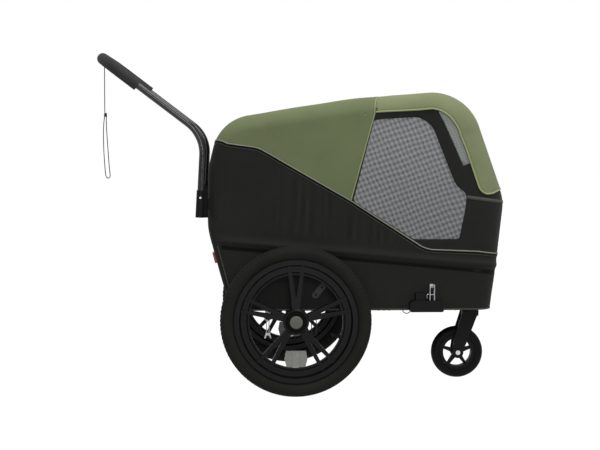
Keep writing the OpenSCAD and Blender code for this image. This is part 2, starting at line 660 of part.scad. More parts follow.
module safety_clip() color([0.72, 0.72, 0.74]) placed() translate([-91, -base_y, base_z]) {
  translate([-9, -1.5, -17]) cube([18, 3, 17]);
  translate([0, 0, -25]) rotate([90, 0, 0]) rotate_extrude() translate([11, 0]) circle(2);
  for (x = [-4, 4]) rod([x, 0, -35], [x, 0, -80], 1.6);
  translate([0, 2, -96]) rotate([90, 0, 0]) linear_extrude(4)
    polygon([[-7, 18], [7, 18], [12, 0], [7, 0], [4, 10], [-4, 10], [-7, 0], [-12, 0]]);
}

// ---- fabric
module tub_side() side_plate(1, 0, wall) polygon([
  side_point(0), side_point(AT_SPLIT_REAR), side_point(AT_SPLIT_FRONT), side_point(LAST)]);
module tub_side_left() color([0.14, 0.14, 0.14]) placed() tub_side();
module tub_side_right() color([0.14, 0.14, 0.14]) placed() mirror([0, 1, 0]) tub_side();
module tub_front() color([0.14, 0.14, 0.14]) placed() skin_band(AT_SPLIT_FRONT, LAST);
module tub_rear() color([0.14, 0.14, 0.14]) placed() skin_band(0, AT_SPLIT_REAR);
module rear_reflector() color([0.75, 0.1, 0.08]) placed() {
  z = 175;
  both() translate([-(cabin_rear - 74) - rear_lean * z, half - 65, floor_height + z])
    rotate([0, -atan(rear_lean), 0]) translate([-8.3, -25, -18]) cube([8, 50, 36]);
}

seam_foot = [CORNERS[6][0] - 84, floor_height + 378];
window_bend = floor_height + 368;
window_top = roof_height - 88;
// A point of the window's upper part: x behind the nose, and its share of the height from bend to top
function upper(behind, share) = [cabin_front - behind, lerp(window_bend, window_top, share)];
WINDOW = [
  [CORNERS[6][0] - 17, upper(0, 0.96)[1]], seam_foot, seam_foot - [10, 12],
  [cabin_front - 325, floor_height + 238], [cabin_front - 166, floor_height + 239],
  [cabin_front - 152, floor_height + 315], upper(144, 0), upper(152, 0.112), upper(179, 0.166),
  upper(199, 0.336), upper(232, 0.635), upper(265, 0.888), upper(282, 0.96), upper(305, 1)];
window_middle = [380, floor_height + 430];
module side_cover() side_plate(1, 0, wall) difference() {
  polygon([for (k = [AT_SPLIT_REAR:AT_SPLIT_FRONT]) side_point(k)]);
  polygon(WINDOW);
}
module side_cover_left() color([0.36, 0.40, 0.27]) placed() side_cover();
module side_cover_right() color([0.36, 0.40, 0.27]) placed() mirror([0, 1, 0]) side_cover();
module window_net() side_plate(1, wall, net_thick)
  polygon([for (p = WINDOW) p + 7 * unit(p - window_middle)]);
module window_net_left() color([0.45, 0.45, 0.45]) placed() window_net();
module window_net_right() color([0.45, 0.45, 0.45]) placed() mirror([0, 1, 0]) window_net();

module rear_cover() color([0.14, 0.14, 0.14]) placed() difference() {
  skin_band(AT_SPLIT_REAR, AT_PIPING);
  both() socket_place() translate([0, 0, -19.5]) linear_extrude(39) socket_web(16);
}
module roof_cover() color([0.38, 0.42, 0.30]) placed() skin_band(AT_PIPING, AT_SEAM);
module front_cover() color([0.50, 0.53, 0.40]) placed() skin_band(AT_SEAM, AT_SILL, [0, 22]);
module front_net() color([0.55, 0.56, 0.52]) placed() skin_band(AT_NET, AT_SILL, depth = wall + net_gap, thick = net_thick);
module front_panel() color([0.14, 0.14, 0.14]) placed() skin_band(AT_SILL, AT_SPLIT_FRONT);

// ---- folding hoops and handle
// The eye at a hoop's foot: a drilled disc and a tongue that goes up into the tube
module hoop_eye(p, d) difference() {
  union() {
    across(p, eye_r, eye_thick);
    frame_of([d[2], 0, -d[0]], [0, 1, 0], d, p) translate([-8, -eye_thick / 2, 0]) cube([16, eye_thick, 28]);
  }
  across(p, hinge_pin_d / 2 + run, 40);
}
module hoop(points, bends) {
  up = unit(points[1] - points[0]);
  start = points[0] + 20 * up;
  n = len(points) - 1;
  bent_tube([start, each [for (i = [1:n - 1]) points[i]], [start[0], -start[1], start[2]]],
            bends, hoop_d, tube_wall);
  both() hoop_eye(points[0], up);
}
module rear_hoop() color([0.12, 0.12, 0.13]) placed() {
  right = [for (p = [hinge_rear, leg_foot, leg_top]) at_y(p, frame_y)];
  hoop(there_and_back(right), [0, 60, hoop_bend, hoop_bend, 60, 0]);
}
module front_hoop() color([0.12, 0.12, 0.13]) placed() {
  right = [for (p = [hinge_front, knee, hoop_top]) at_y(p, frame_y)];
  hoop(there_and_back(right), [0, 200, hoop_bend, hoop_bend, 200, 0]);
}
function there_and_back(side) =
  [each side, each [for (i = [len(side) - 1:-1:0]) [side[i][0], -side[i][1], side[i][2]]]];
// The nose's reach at a height
function nose_at(z) = lookup(z, [for (k = [AT_NET:AT_SPLIT_FRONT]) [OUTLINE[k][1], OUTLINE[k][0]]]);
module nose_bow() color([0.12, 0.12, 0.13]) placed() {
  z = floor_height + 362;
  x = min([for (dz = [-bow_d / 2, 0, bow_d / 2]) nose_at(z + dz)]) - wall - bow_d / 2 - gap;
  root = lerp(hinge_front[0], knee[0], (z - hinge_front[1]) / (knee[1] - hinge_front[1]));
  difference() {
    bent_tube(there_and_back([[root, frame_y, z], [x, frame_y, z]]), [0, 92, 92, 0],
              bow_d, tube_wall);
    both() rod(at_y(hinge_front, frame_y), at_y(knee, frame_y), hoop_d / 2 + 0.2);
  }
}

// The sockets' frame: Z along the handle's tube, with the origin at the socket's middle
module socket_place() {
  translate([handle_axis[0], handle_y, handle_axis[1]]) rotate([0, upright_lean, 0]) children();
}
leg_at_socket = leg_foot[0] + (handle_axis[1] - leg_foot[1]) * tan(upright_lean);
leg_offset = [(leg_at_socket - handle_axis[0]) * cos(upright_lean), frame_y - handle_y];
module socket_web(width) rotate(atan2(leg_offset[1], leg_offset[0]))
  translate([0, -width / 2]) square([norm(leg_offset), width]);
module handle_sockets() color([0.13, 0.13, 0.14]) placed() both() difference() {
  socket_place() difference() {
    union() {
      translate([0, 0, -socket_length / 2]) cylinder(d = socket_d, h = socket_length);
      translate([0, 0, -18]) linear_extrude(36) {
        socket_web(12);
        translate(leg_offset) circle(d = hoop_d + 5);
      }
    }
    translate([0, 0, -socket_length]) cylinder(d = handle_d + 0.3, h = 2 * socket_length);
    translate([leg_offset[0], leg_offset[1], -50]) cylinder(d = hoop_d + 0.4, h = 100);
  }
  snap_hole();
}
module snap_hole() across([handle_at(snap_z)[0], handle_y + 10, snap_z], snap_d / 2 + run, 20);
module handle_points_tube(d, thick) {
  side = [for (p = [handle_at(handle_foot), handle_at(elbow_z), bar]) at_y(p, handle_y)];
  bent_tube(there_and_back(side), [0, elbow_bend, grip_bend, grip_bend, elbow_bend, 0], d, thick);
}
module handle_tube() color([0.22, 0.22, 0.23]) placed() difference() {
  handle_points_tube(handle_d, tube_wall);
  both() snap_hole();
}
module foam_grip() color([0.16, 0.16, 0.16]) placed() {
  arm = bar + grip_arm * unit(handle_at(elbow_z) - bar);
  path = there_and_back([at_y(arm, handle_y), at_y(bar, handle_y)]);
  bent_rod(path, [0, grip_bend, grip_bend, 0], grip_d / 2, handle_d / 2 + 0.1);
}
module snap_button() translate([handle_at(snap_z)[0], handle_y, snap_z]) rotate([-90, 0, 0]) {
  translate([0, 0, handle_d / 2 - 4.5]) cylinder(d = snap_d, h = socket_d / 2 - handle_d / 2 + 6);
  translate([0, 0, handle_d / 2 - 5.5]) cylinder(d = snap_d + 2, h = 1.5);
}
module snap_button_left() color([0.8, 0.8, 0.82]) placed() snap_button();
module snap_button_right() color([0.8, 0.8, 0.82]) placed() mirror([0, 1, 0]) snap_button();

// ---- wrist strap: a thin cord that hangs from the push bar and ends in a long narrow loop
STRAP = [
  [-642, 1097.5], [-642, 1084], [-642, 1050], [-642, 1000], [-642, 955], [-642, 932], [-645, 908],
  [-647, 870], [-646, 810], [-643, 760], [-641, 735], [-638.5, 722], [-632, 716], [-625.5, 722],
  [-626, 735], [-629, 770], [-633, 830], [-636, 880], [-637, 910], [-637, 930]];
strap_y = -150;
strap_d = 3;
strap_steps = 4;
function curve(p, i, t) =
  let (a = p[max(i - 1, 0)], b = p[i], c = p[i + 1], d = p[min(i + 2, len(p) - 1)])
  0.5 * ((2 * b) + (c - a) * t + (2 * a - 5 * b + 4 * c - d) * t * t + (3 * b - a - 3 * c + d) * t * t * t);
STRAP_LINE = [each [for (i = [0:len(STRAP) - 2], j = [0:strap_steps - 1]) curve(STRAP, i, j / strap_steps)],
              STRAP[len(STRAP) - 1]];
function strap_heading(i) =
  unit(STRAP_LINE[min(i + 1, len(STRAP_LINE) - 1)] - STRAP_LINE[max(i - 1, 0)]);
module wrist_strap() color([0.10, 0.10, 0.10]) placed() {
  n = len(STRAP_LINE);
  sides = 8;
  rings = [for (i = [0:n - 1]) let (t = strap_heading(i), p = STRAP_LINE[i])
    [for (j = [0:sides - 1]) let (a = 360 * j / sides, r = strap_d / 2)
      [p[0] + t[1] * r * cos(a), strap_y + r * sin(a), p[1] - t[0] * r * cos(a)]]];
  polyhedron(
    points = [for (ring = rings) each ring],
    faces = [
      for (i = [0:n - 2], j = [0:sides - 1]) let (a = i * sides + j, b = i * sides + (j + 1) % sides)
        each [[a, b, b + sides], [a, b + sides, a + sides]],
      [for (j = [sides - 1:-1:0]) j],
      [for (j = [0:sides - 1]) (n - 1) * sides + j]]);
}

base_frame();
floor_board();
side_rail_left();
side_rail_right();
corner_posts();
hinge_blocks();
hinge_pins();
axle_beam();
axle_left();
axle_right();
hitch_housing();
hitch_channel();
hitch_pin();
hitch_clip();
tether_loops();
link_plate();
safety_clip();
caster_head();
tub_side_left();
tub_side_right();
tub_front();
tub_rear();
rear_reflector();
side_cover_left();
side_cover_right();
window_net_left();
window_net_right();
rear_cover();
roof_cover();
front_cover();
front_net();
front_panel();
rear_hoop();
handle_sockets();
handle_tube();
foam_grip();
wrist_strap();
snap_button_left();
snap_button_right();
front_hoop();
nose_bow();
rim_left();
tyre_left();
bearings_left();
hub_ring_left();
valve_left();
spoke_reflector_left();
hub_button_left();
rim_right();
tyre_right();
bearings_right();
hub_ring_right();
valve_right();
spoke_reflector_right();
hub_button_right();
caster_fork();
caster_rim();
caster_tyre();
caster_bolt();
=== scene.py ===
import math

import bpy
import numpy as np
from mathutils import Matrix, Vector, geometry


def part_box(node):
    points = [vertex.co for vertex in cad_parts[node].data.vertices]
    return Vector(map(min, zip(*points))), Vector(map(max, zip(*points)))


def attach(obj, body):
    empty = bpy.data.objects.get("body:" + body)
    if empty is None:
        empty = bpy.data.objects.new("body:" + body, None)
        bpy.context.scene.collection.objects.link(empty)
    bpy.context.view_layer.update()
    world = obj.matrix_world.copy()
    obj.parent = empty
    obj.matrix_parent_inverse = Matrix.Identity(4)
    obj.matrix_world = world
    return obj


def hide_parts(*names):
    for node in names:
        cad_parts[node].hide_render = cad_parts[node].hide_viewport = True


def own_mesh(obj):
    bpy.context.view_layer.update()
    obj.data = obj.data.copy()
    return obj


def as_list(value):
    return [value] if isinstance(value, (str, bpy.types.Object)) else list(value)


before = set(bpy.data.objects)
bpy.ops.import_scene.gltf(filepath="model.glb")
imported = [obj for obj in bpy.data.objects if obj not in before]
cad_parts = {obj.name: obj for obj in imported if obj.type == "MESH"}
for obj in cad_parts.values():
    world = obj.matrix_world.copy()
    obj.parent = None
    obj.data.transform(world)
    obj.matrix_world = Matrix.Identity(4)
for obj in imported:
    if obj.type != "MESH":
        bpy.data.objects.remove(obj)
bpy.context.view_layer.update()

# A folding dog stroller: soft cabin, tubular frame, spoked rear wheels and one swivelling front wheel.
# X runs forwards, Y to the left and Z up, in metres; the floor is Z = 0.

print("frame loaded")

# ---- camera
cameraPlace = {"place": (-0.2103, -4.6041, 0.8459), "turn": 1.86, "down": 2.627, "lens": 78.19, "sensor": 36,
               "shift": (0.03, -0.042)}        # turn and down in degrees, lens and sensor in millimetres


def addCamera(place, turn, down, lens, sensor, shift):
    data = bpy.data.cameras.new("camera")
    data.lens, data.sensor_width = lens, sensor
    data.shift_x, data.shift_y = shift
    camera = bpy.data.objects.new("camera", data)
    camera.location = place
    camera.rotation_euler = (math.radians(90 - down), 0, math.radians(-turn))
    bpy.context.scene.collection.objects.link(camera)
    bpy.context.scene.camera = camera


addCamera(**cameraPlace)

# ---- meshes from grids, sweeps and flat cuts


# Quads of a grid whose points are numbered row by row; wrap joins the last column to the first
def gridFaces(rows, columns, wrap=False):
    i, j = np.meshgrid(np.arange(rows - 1), np.arange(columns if wrap else columns - 1), indexing="ij")
    k = (j + 1) % columns
    return np.stack([i * columns + j, (i + 1) * columns + j, (i + 1) * columns + k, i * columns + k],
                    axis=-1).reshape(-1, 4)


def addPiece(name, points, faces, look, body, slot, replaces=(), smooth=True, values=None):
    mesh = bpy.data.meshes.new(name)
    mesh.from_pydata(np.asarray(points, float).reshape(-1, 3).tolist(), [],
                     faces if isinstance(faces, list) else faces.tolist())
    for key, data in (values or {}).items():
        mesh.attributes.new(key, "FLOAT", "POINT").data.foreach_set("value", np.asarray(data, np.float32).ravel())
    if smooth:
        mesh.shade_smooth()
    mesh.materials.append(look)
    piece = bpy.data.objects.new(name, mesh)
    bpy.context.scene.collection.objects.link(piece)
    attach(piece, body)
    if replaces:
        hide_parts(*replaces)
    return piece


def unit(v):
    return v / np.maximum(np.linalg.norm(v, axis=-1, keepdims=True), 1e-12)


# A profile of (sideways, upwards) offsets carried along a path: tangent by differences, sideways = tangent x up
def sweepPoints(path, up, profile, closed=False):
    ahead = np.roll(path, -1, 0) - np.roll(path, 1, 0)
    if not closed:
        ahead[0], ahead[-1] = path[1] - path[0], path[-1] - path[-2]
    ahead = unit(ahead)
    sideways = unit(np.cross(ahead, up))
    upwards = np.cross(sideways, ahead)
    return path[:, None] + sideways[:, None] * profile[None, :, :1] + upwards[:, None] * profile[None, :, 1:]


# The skin of a sweep, with a cap at each end where it isn't closed
def sweepFaces(rows, columns, closed):
    faces = gridFaces(rows + 1 if closed else rows, columns, True) % (rows * columns)
    if closed:
        return faces.tolist()
    return faces.tolist() + [list(range(columns)), list(range(rows * columns - 1, (rows - 1) * columns - 1, -1))]


# A circle, or an ellipse whose height is flat times its width
def circleProfile(radius, sides, flat=1.0):
    a = np.linspace(0, 2 * np.pi, sides, endpoint=False)
    return np.stack([radius * np.cos(a), radius * flat * np.sin(a)], -1)


def addSweep(name, path, up, profile, look, body, slot, closed=False, **more):
    points = sweepPoints(path, up, profile, closed)
    return addPiece(name, points, sweepFaces(len(path), len(profile), closed), look, body, slot, **more)


# Points spaced evenly along a polyline
def evenly(path, spacing):
    along = np.concatenate([[0], np.cumsum(np.linalg.norm(np.diff(path, axis=0), axis=1))])
    count = max(2, int(round(along[-1] / spacing)) + 1)
    at = np.linspace(0, along[-1], count)
    return np.stack([np.interp(at, along, path[:, i]) for i in range(path.shape[1])], -1)


# A polyline of (x, z, radius) corners with each corner rounded by an arc
def rounded(corners, steps):
    corners = np.asarray(corners, float)
    path = [corners[:1, :2]]
    for before, here, after in zip(corners[:-2], corners[1:-1], corners[2:]):
        u, v = unit(here[:2] - before[:2]), unit(after[:2] - here[:2])
        turn = math.acos(np.clip(u @ v, -1, 1))
        if here[2] == 0 or turn < 1e-4:
            path.append(here[None, :2])
            continue
        hand = np.sign(u[0] * v[1] - u[1] * v[0])
        side = hand * np.array([-u[1], u[0]])
        a = np.linspace(0, turn, steps)[:, None]
        start = here[:2] - u * here[2] * math.tan(turn / 2)
        path.append(start + side * here[2] * (1 - np.cos(a)) + u * here[2] * np.sin(a))
    path.append(corners[-1:, :2])
    return np.concatenate(path)


# Distance of points from a closed loop, and whether they lie inside it: the crossings to their right are odd.
# The points go through in blocks, each set against every side of the loop at once.
def loopDistance(points, loop, block=2000):
    after = np.roll(loop, -1, 0)
    way = after - loop
    upright = np.abs(way[:, 1]) > 1e-12
    slope = way[:, 0] / np.where(upright, way[:, 1], 1.0)
    length = np.maximum((way ** 2).sum(1), 1e-18)
    distances, insides = [], []
    for some in np.array_split(points, 1 + len(points) // block):
        reach = some[:, None] - loop[None]
        t = np.clip((reach * way).sum(-1) / length, 0, 1)
        distances.append(np.linalg.norm(reach - t[..., None] * way, axis=-1).min(1))
        crossed = upright & ((loop[:, 1] > some[:, 1:]) != (after[:, 1] > some[:, 1:]))
        crossed &= some[:, :1] < loop[:, 0] + reach[..., 1] * slope
        insides.append(crossed.sum(1) % 2 == 1)
    return np.concatenate(distances), np.concatenate(insides)


# Triangles that fill a loop, less its holes, with inner points on a staggered grid whose rows run along way
def fillLoop(loop, spacing, holes, way, clear=0.6):
    turn = np.array([[way[0], way[1]], [-way[1], way[0]]])
    loop, holes = loop @ turn.T, [hole @ turn.T for hole in holes]
    low, high = loop.min(0), loop.max(0)
    rows, columns = int((high[1] - low[1]) / spacing) + 2, int((high[0] - low[0]) / spacing) + 2
    i, j = np.meshgrid(np.arange(rows), np.arange(columns), indexing="ij")
    grid = np.stack([low[0] + (j + 0.5 * (i % 2)) * spacing, low[1] + i * spacing], -1).reshape(-1, 2)
    distance, keep = loopDistance(grid, loop)
    keep &= distance > clear * spacing
    for hole in holes:
        distance, within = loopDistance(grid, hole)
        keep &= ~within & (distance > clear * spacing)
    rims = [loop, *holes]
    points = np.concatenate([*rims, grid[keep]])
    edges, base = [], 0
    for rim in rims:
        n = len(rim)
        edges += [(base + k, base + (k + 1) % n) for k in range(n)]
        base += n
    made = geometry.delaunay_2d_cdt([Vector(p) for p in points.tolist()], edges, [], 0, 1e-7)
    points = np.array([list(p) for p in made[0]])
    faces = np.array(made[2])
    centre = points[faces].mean(1)
    _, keep = loopDistance(centre, loop)
    for hole in holes:
        keep &= ~loopDistance(centre, hole)[1]
    return points @ turn, faces[keep]


# An even rise from 0 to 1 with level ends
def smooth01(x):
    x = np.clip(x, 0, 1)
    return x * x * (3 - 2 * x)


# 1 at no distance, and falling off on both sides
def bell(distance, spread, power=2):
    return np.exp(-(distance / spread) ** power)


# ---- the cabin's outline, seen from its right side: x, z, corner radius, edge rounding before and after
cabin = {
    "halfWidth": 0.290, "slide": -0.0261225, "step": 0.005, "levelEnd": 0.08, "pipingRear": 0.842,
    "sillAbove": 0.006,
    "corners": [(-0.216, 0.278, 0, 0.016, 0.016), (-0.276433, 0.501, 0, 0.016, 0.016),
                (-0.290, 0.551, 0.200, 0.024, 0.030), (-0.290, 0.751, 0.200, 0.030, 0.032),
                (-0.250, 0.913, 0.150, 0.036, 0.052), (0.187, 0.985, 1.600, 0.055, 0.055),
                (0.277, 0.991, 0, 0.055, 0.055), (0.586, 1.011, 0.175, 0.058, 0.108),
                (0.715, 0.642, 0.150, 0.110, 0.105), (0.681992, 0.414, 0, 0.071, 0.071),
                (0.662, 0.278, 0, 0.060, 0.060)],
}
cornerOf = {"railRear": 1, "roofSeam": 6, "nose": 7, "noseFoot": 8, "railFront": 9}


# Stations along the outline: straight runs and arcs, each point with its edge rounding and its corner's number.
# Near both ends the inward way turns level, over levelEnd.
def outlineStations(corners, step, slide, levelEnd, **others):
    rows = []
    for k, (x, z, radius, before, after) in enumerate(corners):
        here = np.array([x, z])
        if radius == 0:
            rows.append(np.array([[x, z, before, k]]))
            continue
        u = unit(here - np.array(corners[k - 1][:2]))
        v = unit(np.array(corners[k + 1][:2]) - here)
        turn = math.acos(u @ v)
        t = np.linspace(0, 1, max(4, int(radius * turn / step)))[:, None]
        start = here - u * radius * math.tan(turn / 2)
        arc = start + radius * (u * np.sin(t * turn) + np.array([u[1], -u[0]]) * (1 - np.cos(t * turn)))
        rows.append(np.concatenate([arc, before + (after - before) * t, k + 0 * t], 1))
    rows = np.concatenate(rows)
    along = np.concatenate([[0], np.cumsum(np.linalg.norm(np.diff(rows[:, :2], axis=0), axis=1))])
    at, marks = [], {}
    for k in range(len(corners)):        # every corner's first and last point stays a station
        own = np.where(rows[:, 3] == k)[0]
        marks[k] = (along[own[0]], along[own[-1]])
    stops = sorted({round(s, 6) for pair in marks.values() for s in pair})
    for a, b in zip(stops[:-1], stops[1:]):
        at.append(np.linspace(a, b, max(1, int(round((b - a) / step))), endpoint=False))
    at = np.concatenate(at + [np.array([stops[-1]])])
    x, z, rho = (np.interp(at, along, rows[:, i]) for i in range(3))
    ahead = unit(np.stack([np.gradient(x, at), np.gradient(z, at)], -1))
    inward = np.stack([ahead[:, 1], -ahead[:, 0]], -1)
    low, high = smooth01(1 - at / levelEnd)[:, None], smooth01(1 - (at[-1] - at) / levelEnd)[:, None]
    inward = unit(inward * (1 - low - high) + low * np.array([1.0, 0]) + high * np.array([-1.0, 0]))
    return {"at": at, "x": x + slide, "z": z, "rho": rho, "inward": inward, "marks": marks}


outline = outlineStations(**cabin)


def stationRow(s):
    return int(np.argmin(np.abs(outline["at"] - s)))


# At the shoulder the roof's front seam runs further back, and the rear piping higher, than in the middle
cornerAt = {name: outline["marks"][number][0] for name, number in cornerOf.items()}
seamAt, noseStart, noseFoot = cornerAt["roofSeam"], cornerAt["nose"], cornerAt["noseFoot"]
pipingRearRow = int(np.argmax(outline["z"] > cabin["pipingRear"]))
pipingAt = outline["at"][pipingRearRow]
shoulderShift = {"pipingUp": 0.0095, "pipingSpread": 0.05, "seamBack": 0.0142, "seamSpread": 0.035}


def seamShift(at, a, pipingUp, pipingSpread, seamBack, seamSpread):
    return np.cos(a) ** 2 * (pipingUp * bell(at - pipingAt, pipingSpread) - seamBack * bell(at - seamAt, seamSpread))


def outlineAt(at):
    return [np.interp(at, outline["at"], column) for column in
            (outline["x"], outline["z"], outline["rho"], outline["inward"][:, 0], outline["inward"][:, 1])]


# Where the cabin's side goes flat: the outline moved inwards by its edge rounding
def shoulderPoints(at):
    x, z, rho, inX, inZ = outlineAt(at + seamShift(at, 0.0, **shoulderShift))
    return np.stack([x + rho * inX, z + rho * inZ], -1)


shoulder = shoulderPoints(outline["at"])
rearSplit, frontSplit = stationRow(cornerAt["railRear"]), stationRow(cornerAt["railFront"])
seamRow, sillRow = stationRow(seamAt), stationRow(noseFoot - cabin["sillAbove"])
railFoot, railTop = shoulder[rearSplit], shoulder[frontSplit]
railWay = unit(railTop - railFoot)
railOff = np.array([-railWay[1], railWay[0]])
print("outline of", len(outline["at"]), "stations")

# Lines on the cabin's side: corners as x and z before the slide, and the radius that rounds them
slide = cabin["slide"]
sideLines = {
    "spacing": 0.005, "edgeSpacing": 0.006, "longSteps": 16, "shortSteps": 8, "pipingFront": 0.477, "seamFoot": 0.188,
    "piping": [(-0.122, 0.8205, 0.10), (0.183, 0.6455, 0.9), (0.437, 0.4815, 0.10)],
    "window": [(0.300, 0.9165, 0), (0.410, 0.923, 0.05), (0.455, 0.896, 0.07), (0.516, 0.743, 0.3),
               (0.538, 0.690, 0.06), (0.574, 0.672, 0.035), (0.5665, 0.612, 0.3), (0.5475, 0.5165, 0.012),
               (0.395, 0.5155, 0.03), (0.1925, 0.6435, 0.016), (0.2615, 0.912, 0.010), (0.300, 0.9165, 0)],
    "crease": [(0.4935, 0.906, 0.03)], "creaseEnds": (0.938, 0.772),
}
spacing, edgeSpacing = sideLines["spacing"], sideLines["edgeSpacing"]


def slid(corners):
    return [(x + slide, z, radius) for x, z, radius in corners]


# The row at which the shoulder passes a height, from a place along the outline on
def shoulderRow(height, start):
    return int(np.argmin(np.where(outline["at"] < start, np.inf, np.abs(shoulder[:, 1] - height))))


def shoulderCorner(row):
    return (*shoulder[row], 0)


pipingFront = shoulderRow(sideLines["pipingFront"], noseFoot)
pipingLine = evenly(rounded([shoulderCorner(pipingRearRow), *slid(sideLines["piping"]),
                             shoulderCorner(pipingFront)], sideLines["longSteps"]), spacing)
seamFoot = pipingLine[np.argmin(np.abs(pipingLine[:, 0] - (sideLines["seamFoot"] + slide)))]
seamLine = evenly(np.array([seamFoot, shoulder[seamRow]]), spacing)
windowLoop = evenly(rounded(slid(sideLines["window"]), sideLines["shortSteps"])[:-1], spacing)

# Folds: waves as height, radians per metre, and start; the way along the side leans and sways with height.
# Pairs give where a share starts to rise and over what width.
foldWaves = {"lean": 0.11, "level": 0.6, "sway": (0.007, 11, 5), "ripple": (0.004, 37, 6), "broad": (0.46, 191),
             "fine": (0.30, 263, 1.3), "drift": (0.8, 5.0, 2), "slow": (0.24, 97, 2.1)}
foldPlace = {"underPiping": 0.06, "overRail": (0.02, 0.05), "low": 0.3, "underRail": (0.03, 0.03), "least": 0.12,
             "rear": (-0.13, 0.12), "front": (0.42, 0.10), "edge": (0.16, 0.10), "patch": (0.55, 0.45),
             "patchWaves": ((41, 13, 0), (17, 21, 1.2))}
drapeShape = {"roll": 0.0095, "rollAt": 0.008, "rollSpread": 0.0115, "hollow": 0.0050, "hollowAt": -0.0130,
              "hollowSpread": 0.0085, "endShare": 0.04, "edge": (0.222, 0.05), "rear": (-0.01, 0.06),
              "low": (0.29, 0.05), "underRail": (-0.04, 0.06), "folds": 0.0042, "uneven": 0.0012,
              "unevenWaves": ((11, 0), (15.3, 13), (23, 17)), "third": 0.6}


# Soft upright folds, from -1 in a valley to 1 on a crest
def foldWave(x, y, z, lean, level, sway, ripple, broad, fine, drift, slow):
    way = (x - lean * (z - level) + sway[0] * np.sin(z * sway[1] + sway[2] * x + np.sign(y))
           + ripple[0] * np.sin(x * ripple[1] + z * ripple[2]))
    return (broad[0] * np.sin(way * broad[1])
            + fine[0] * np.sin(way * fine[1] + fine[2] + drift[0] * np.sin(z * drift[1] + drift[2]))
            + slow[0] * np.sin(way * slow[1] + slow[2]))


def railDistance(x, z):
    return (x - railFoot[0]) * railOff[0] + (z - railFoot[1]) * railOff[1]


# 0 at a start and 1 a width further on
def rise(value, start, width):
    return smooth01((value - start) / width)


# A sine over the side: how fast it runs along x and z, and where it starts
def wave(x, z, alongX, alongZ, start=0):
    return np.sin(x * alongX + z * alongZ + start)


# The folds where they show: between the piping and the rail, bunched in the middle, and weakly under the rail
def foldShare(points):
    x, y, z = points[..., 0], points[..., 1], points[..., 2]
    off = railDistance(x, z)
    pipe = np.interp(x, pipingLine[:, 0], pipingLine[:, 1])
    upper = smooth01((pipe - z) / foldPlace["underPiping"]) * rise(off, *foldPlace["overRail"])
    lower = foldPlace["low"] * rise(-off, *foldPlace["underRail"])
    frontEnd, frontWidth = foldPlace["front"]
    bunched = rise(x, *foldPlace["rear"]) * smooth01((frontEnd - x) / frontWidth)
    bunch = foldPlace["least"] + (1 - foldPlace["least"]) * bunched
    (mean, swing), (first, second) = foldPlace["patch"], foldPlace["patchWaves"]
    patch = mean + swing * wave(x, z, *first) * wave(x, z, *second)
    return foldWave(x, y, z, **foldWaves) * bunch * patch * (upper + lower) * rise(np.abs(y), *foldPlace["edge"])


# How far the cloth lies out of its plain shape: a roll over the rail, a hollow under it, folds, and a slow unevenness
def drape(points):
    shape = drapeShape
    x, y, z = points[..., 0], points[..., 1], points[..., 2]
    off = railDistance(x, z)
    roll = (shape["roll"] * bell(off - shape["rollAt"], shape["rollSpread"])
            - shape["hollow"] * bell(off - shape["hollowAt"], shape["hollowSpread"], 4))
    roll = roll * (shape["endShare"] + (1 - shape["endShare"]) * rise(np.abs(y), *shape["edge"])
                   * rise(x - railFoot[0], *shape["rear"]))
    side = np.sign(y)
    first, second, third = shape["unevenWaves"]
    calm = (wave(x, z, *first, 2 * side) * wave(x, z, *second) + shape["third"] * wave(x, z, *third, side))
    underFrom, underWidth = shape["underRail"]
    low = rise(z, *shape["low"]) * smooth01((underFrom - off) / underWidth)
    return roll + shape["folds"] * foldShare(points) + shape["uneven"] * calm * (0.5 + 0.5 * low)


# The cabin's skin at station rows and edge angles, 0 at the side and a quarter turn on top: the outline moved
# inwards and sideways on a circle of the row's edge rounding, and then out by the drape. Also its outward ways.
def skinPoints(rows, side, a, lift=0.0):
    a = np.atleast_2d(a)
    at = np.interp(rows, np.arange(len(outline["at"])), outline["at"])[:, None]
    x, z, rho, inX, inZ = outlineAt(at + seamShift(at, a, **shoulderShift))
    inset = rho * (1 - np.sin(a))
    points = np.stack([x + inset * inX, side * (cabin["halfWidth"] - rho * (1 - np.cos(a))), z + inset * inZ], -1)
    outwards = np.stack([-inX * np.sin(a), side * np.cos(a) + 0 * x, -inZ * np.sin(a)], -1)
    return points + (drape(points) + lift)[..., None] * outwards, outwards


# The same on the flat side, from points in x and z
def sidePoints(flat, side, lift=0.0):
    outwards = np.broadcast_to(np.array([0.0, side, 0.0]), (*flat.shape[:-1], 3))
    points = np.stack([flat[..., 0], np.full(flat.shape[:-1], side * cabin["halfWidth"]), flat[..., 1]], -1)
    return points + (drape(points) + lift)[..., None] * outwards, outwards


# Rows of a band from the right shoulder over the top to the left one; start is the edge angle it begins at
def bandPoints(rows, start=0.0, lift=0.0, edgeSteps=12, topSteps=56):
    start = np.broadcast_to(np.asarray(start, float), (len(rows),))[:, None]
    a = start + (np.pi / 2 - start) * np.linspace(0, 1, edgeSteps)[None]
    right, rightOut = skinPoints(rows, -1, a, lift)
    left, leftOut = skinPoints(rows, 1, a, lift)
    left, leftOut = left[:, ::-1], leftOut[:, ::-1]
    t = np.linspace(0, 1, topSteps)[1:-1][None, :, None]
    top = right[:, -1:] * (1 - t) + left[:, :1] * t
    topOut = np.broadcast_to(rightOut[:, -1:], top.shape)
    offset = drape(top)[..., None] * topOut - drape(right[:, -1:])[..., None] * topOut
    return np.concatenate([right, top + offset, left], 1), np.concatenate([rightOut, topOut, leftOut], 1)


# ---- finishes
fullTurn = 6.283        # radians in one period of a sine


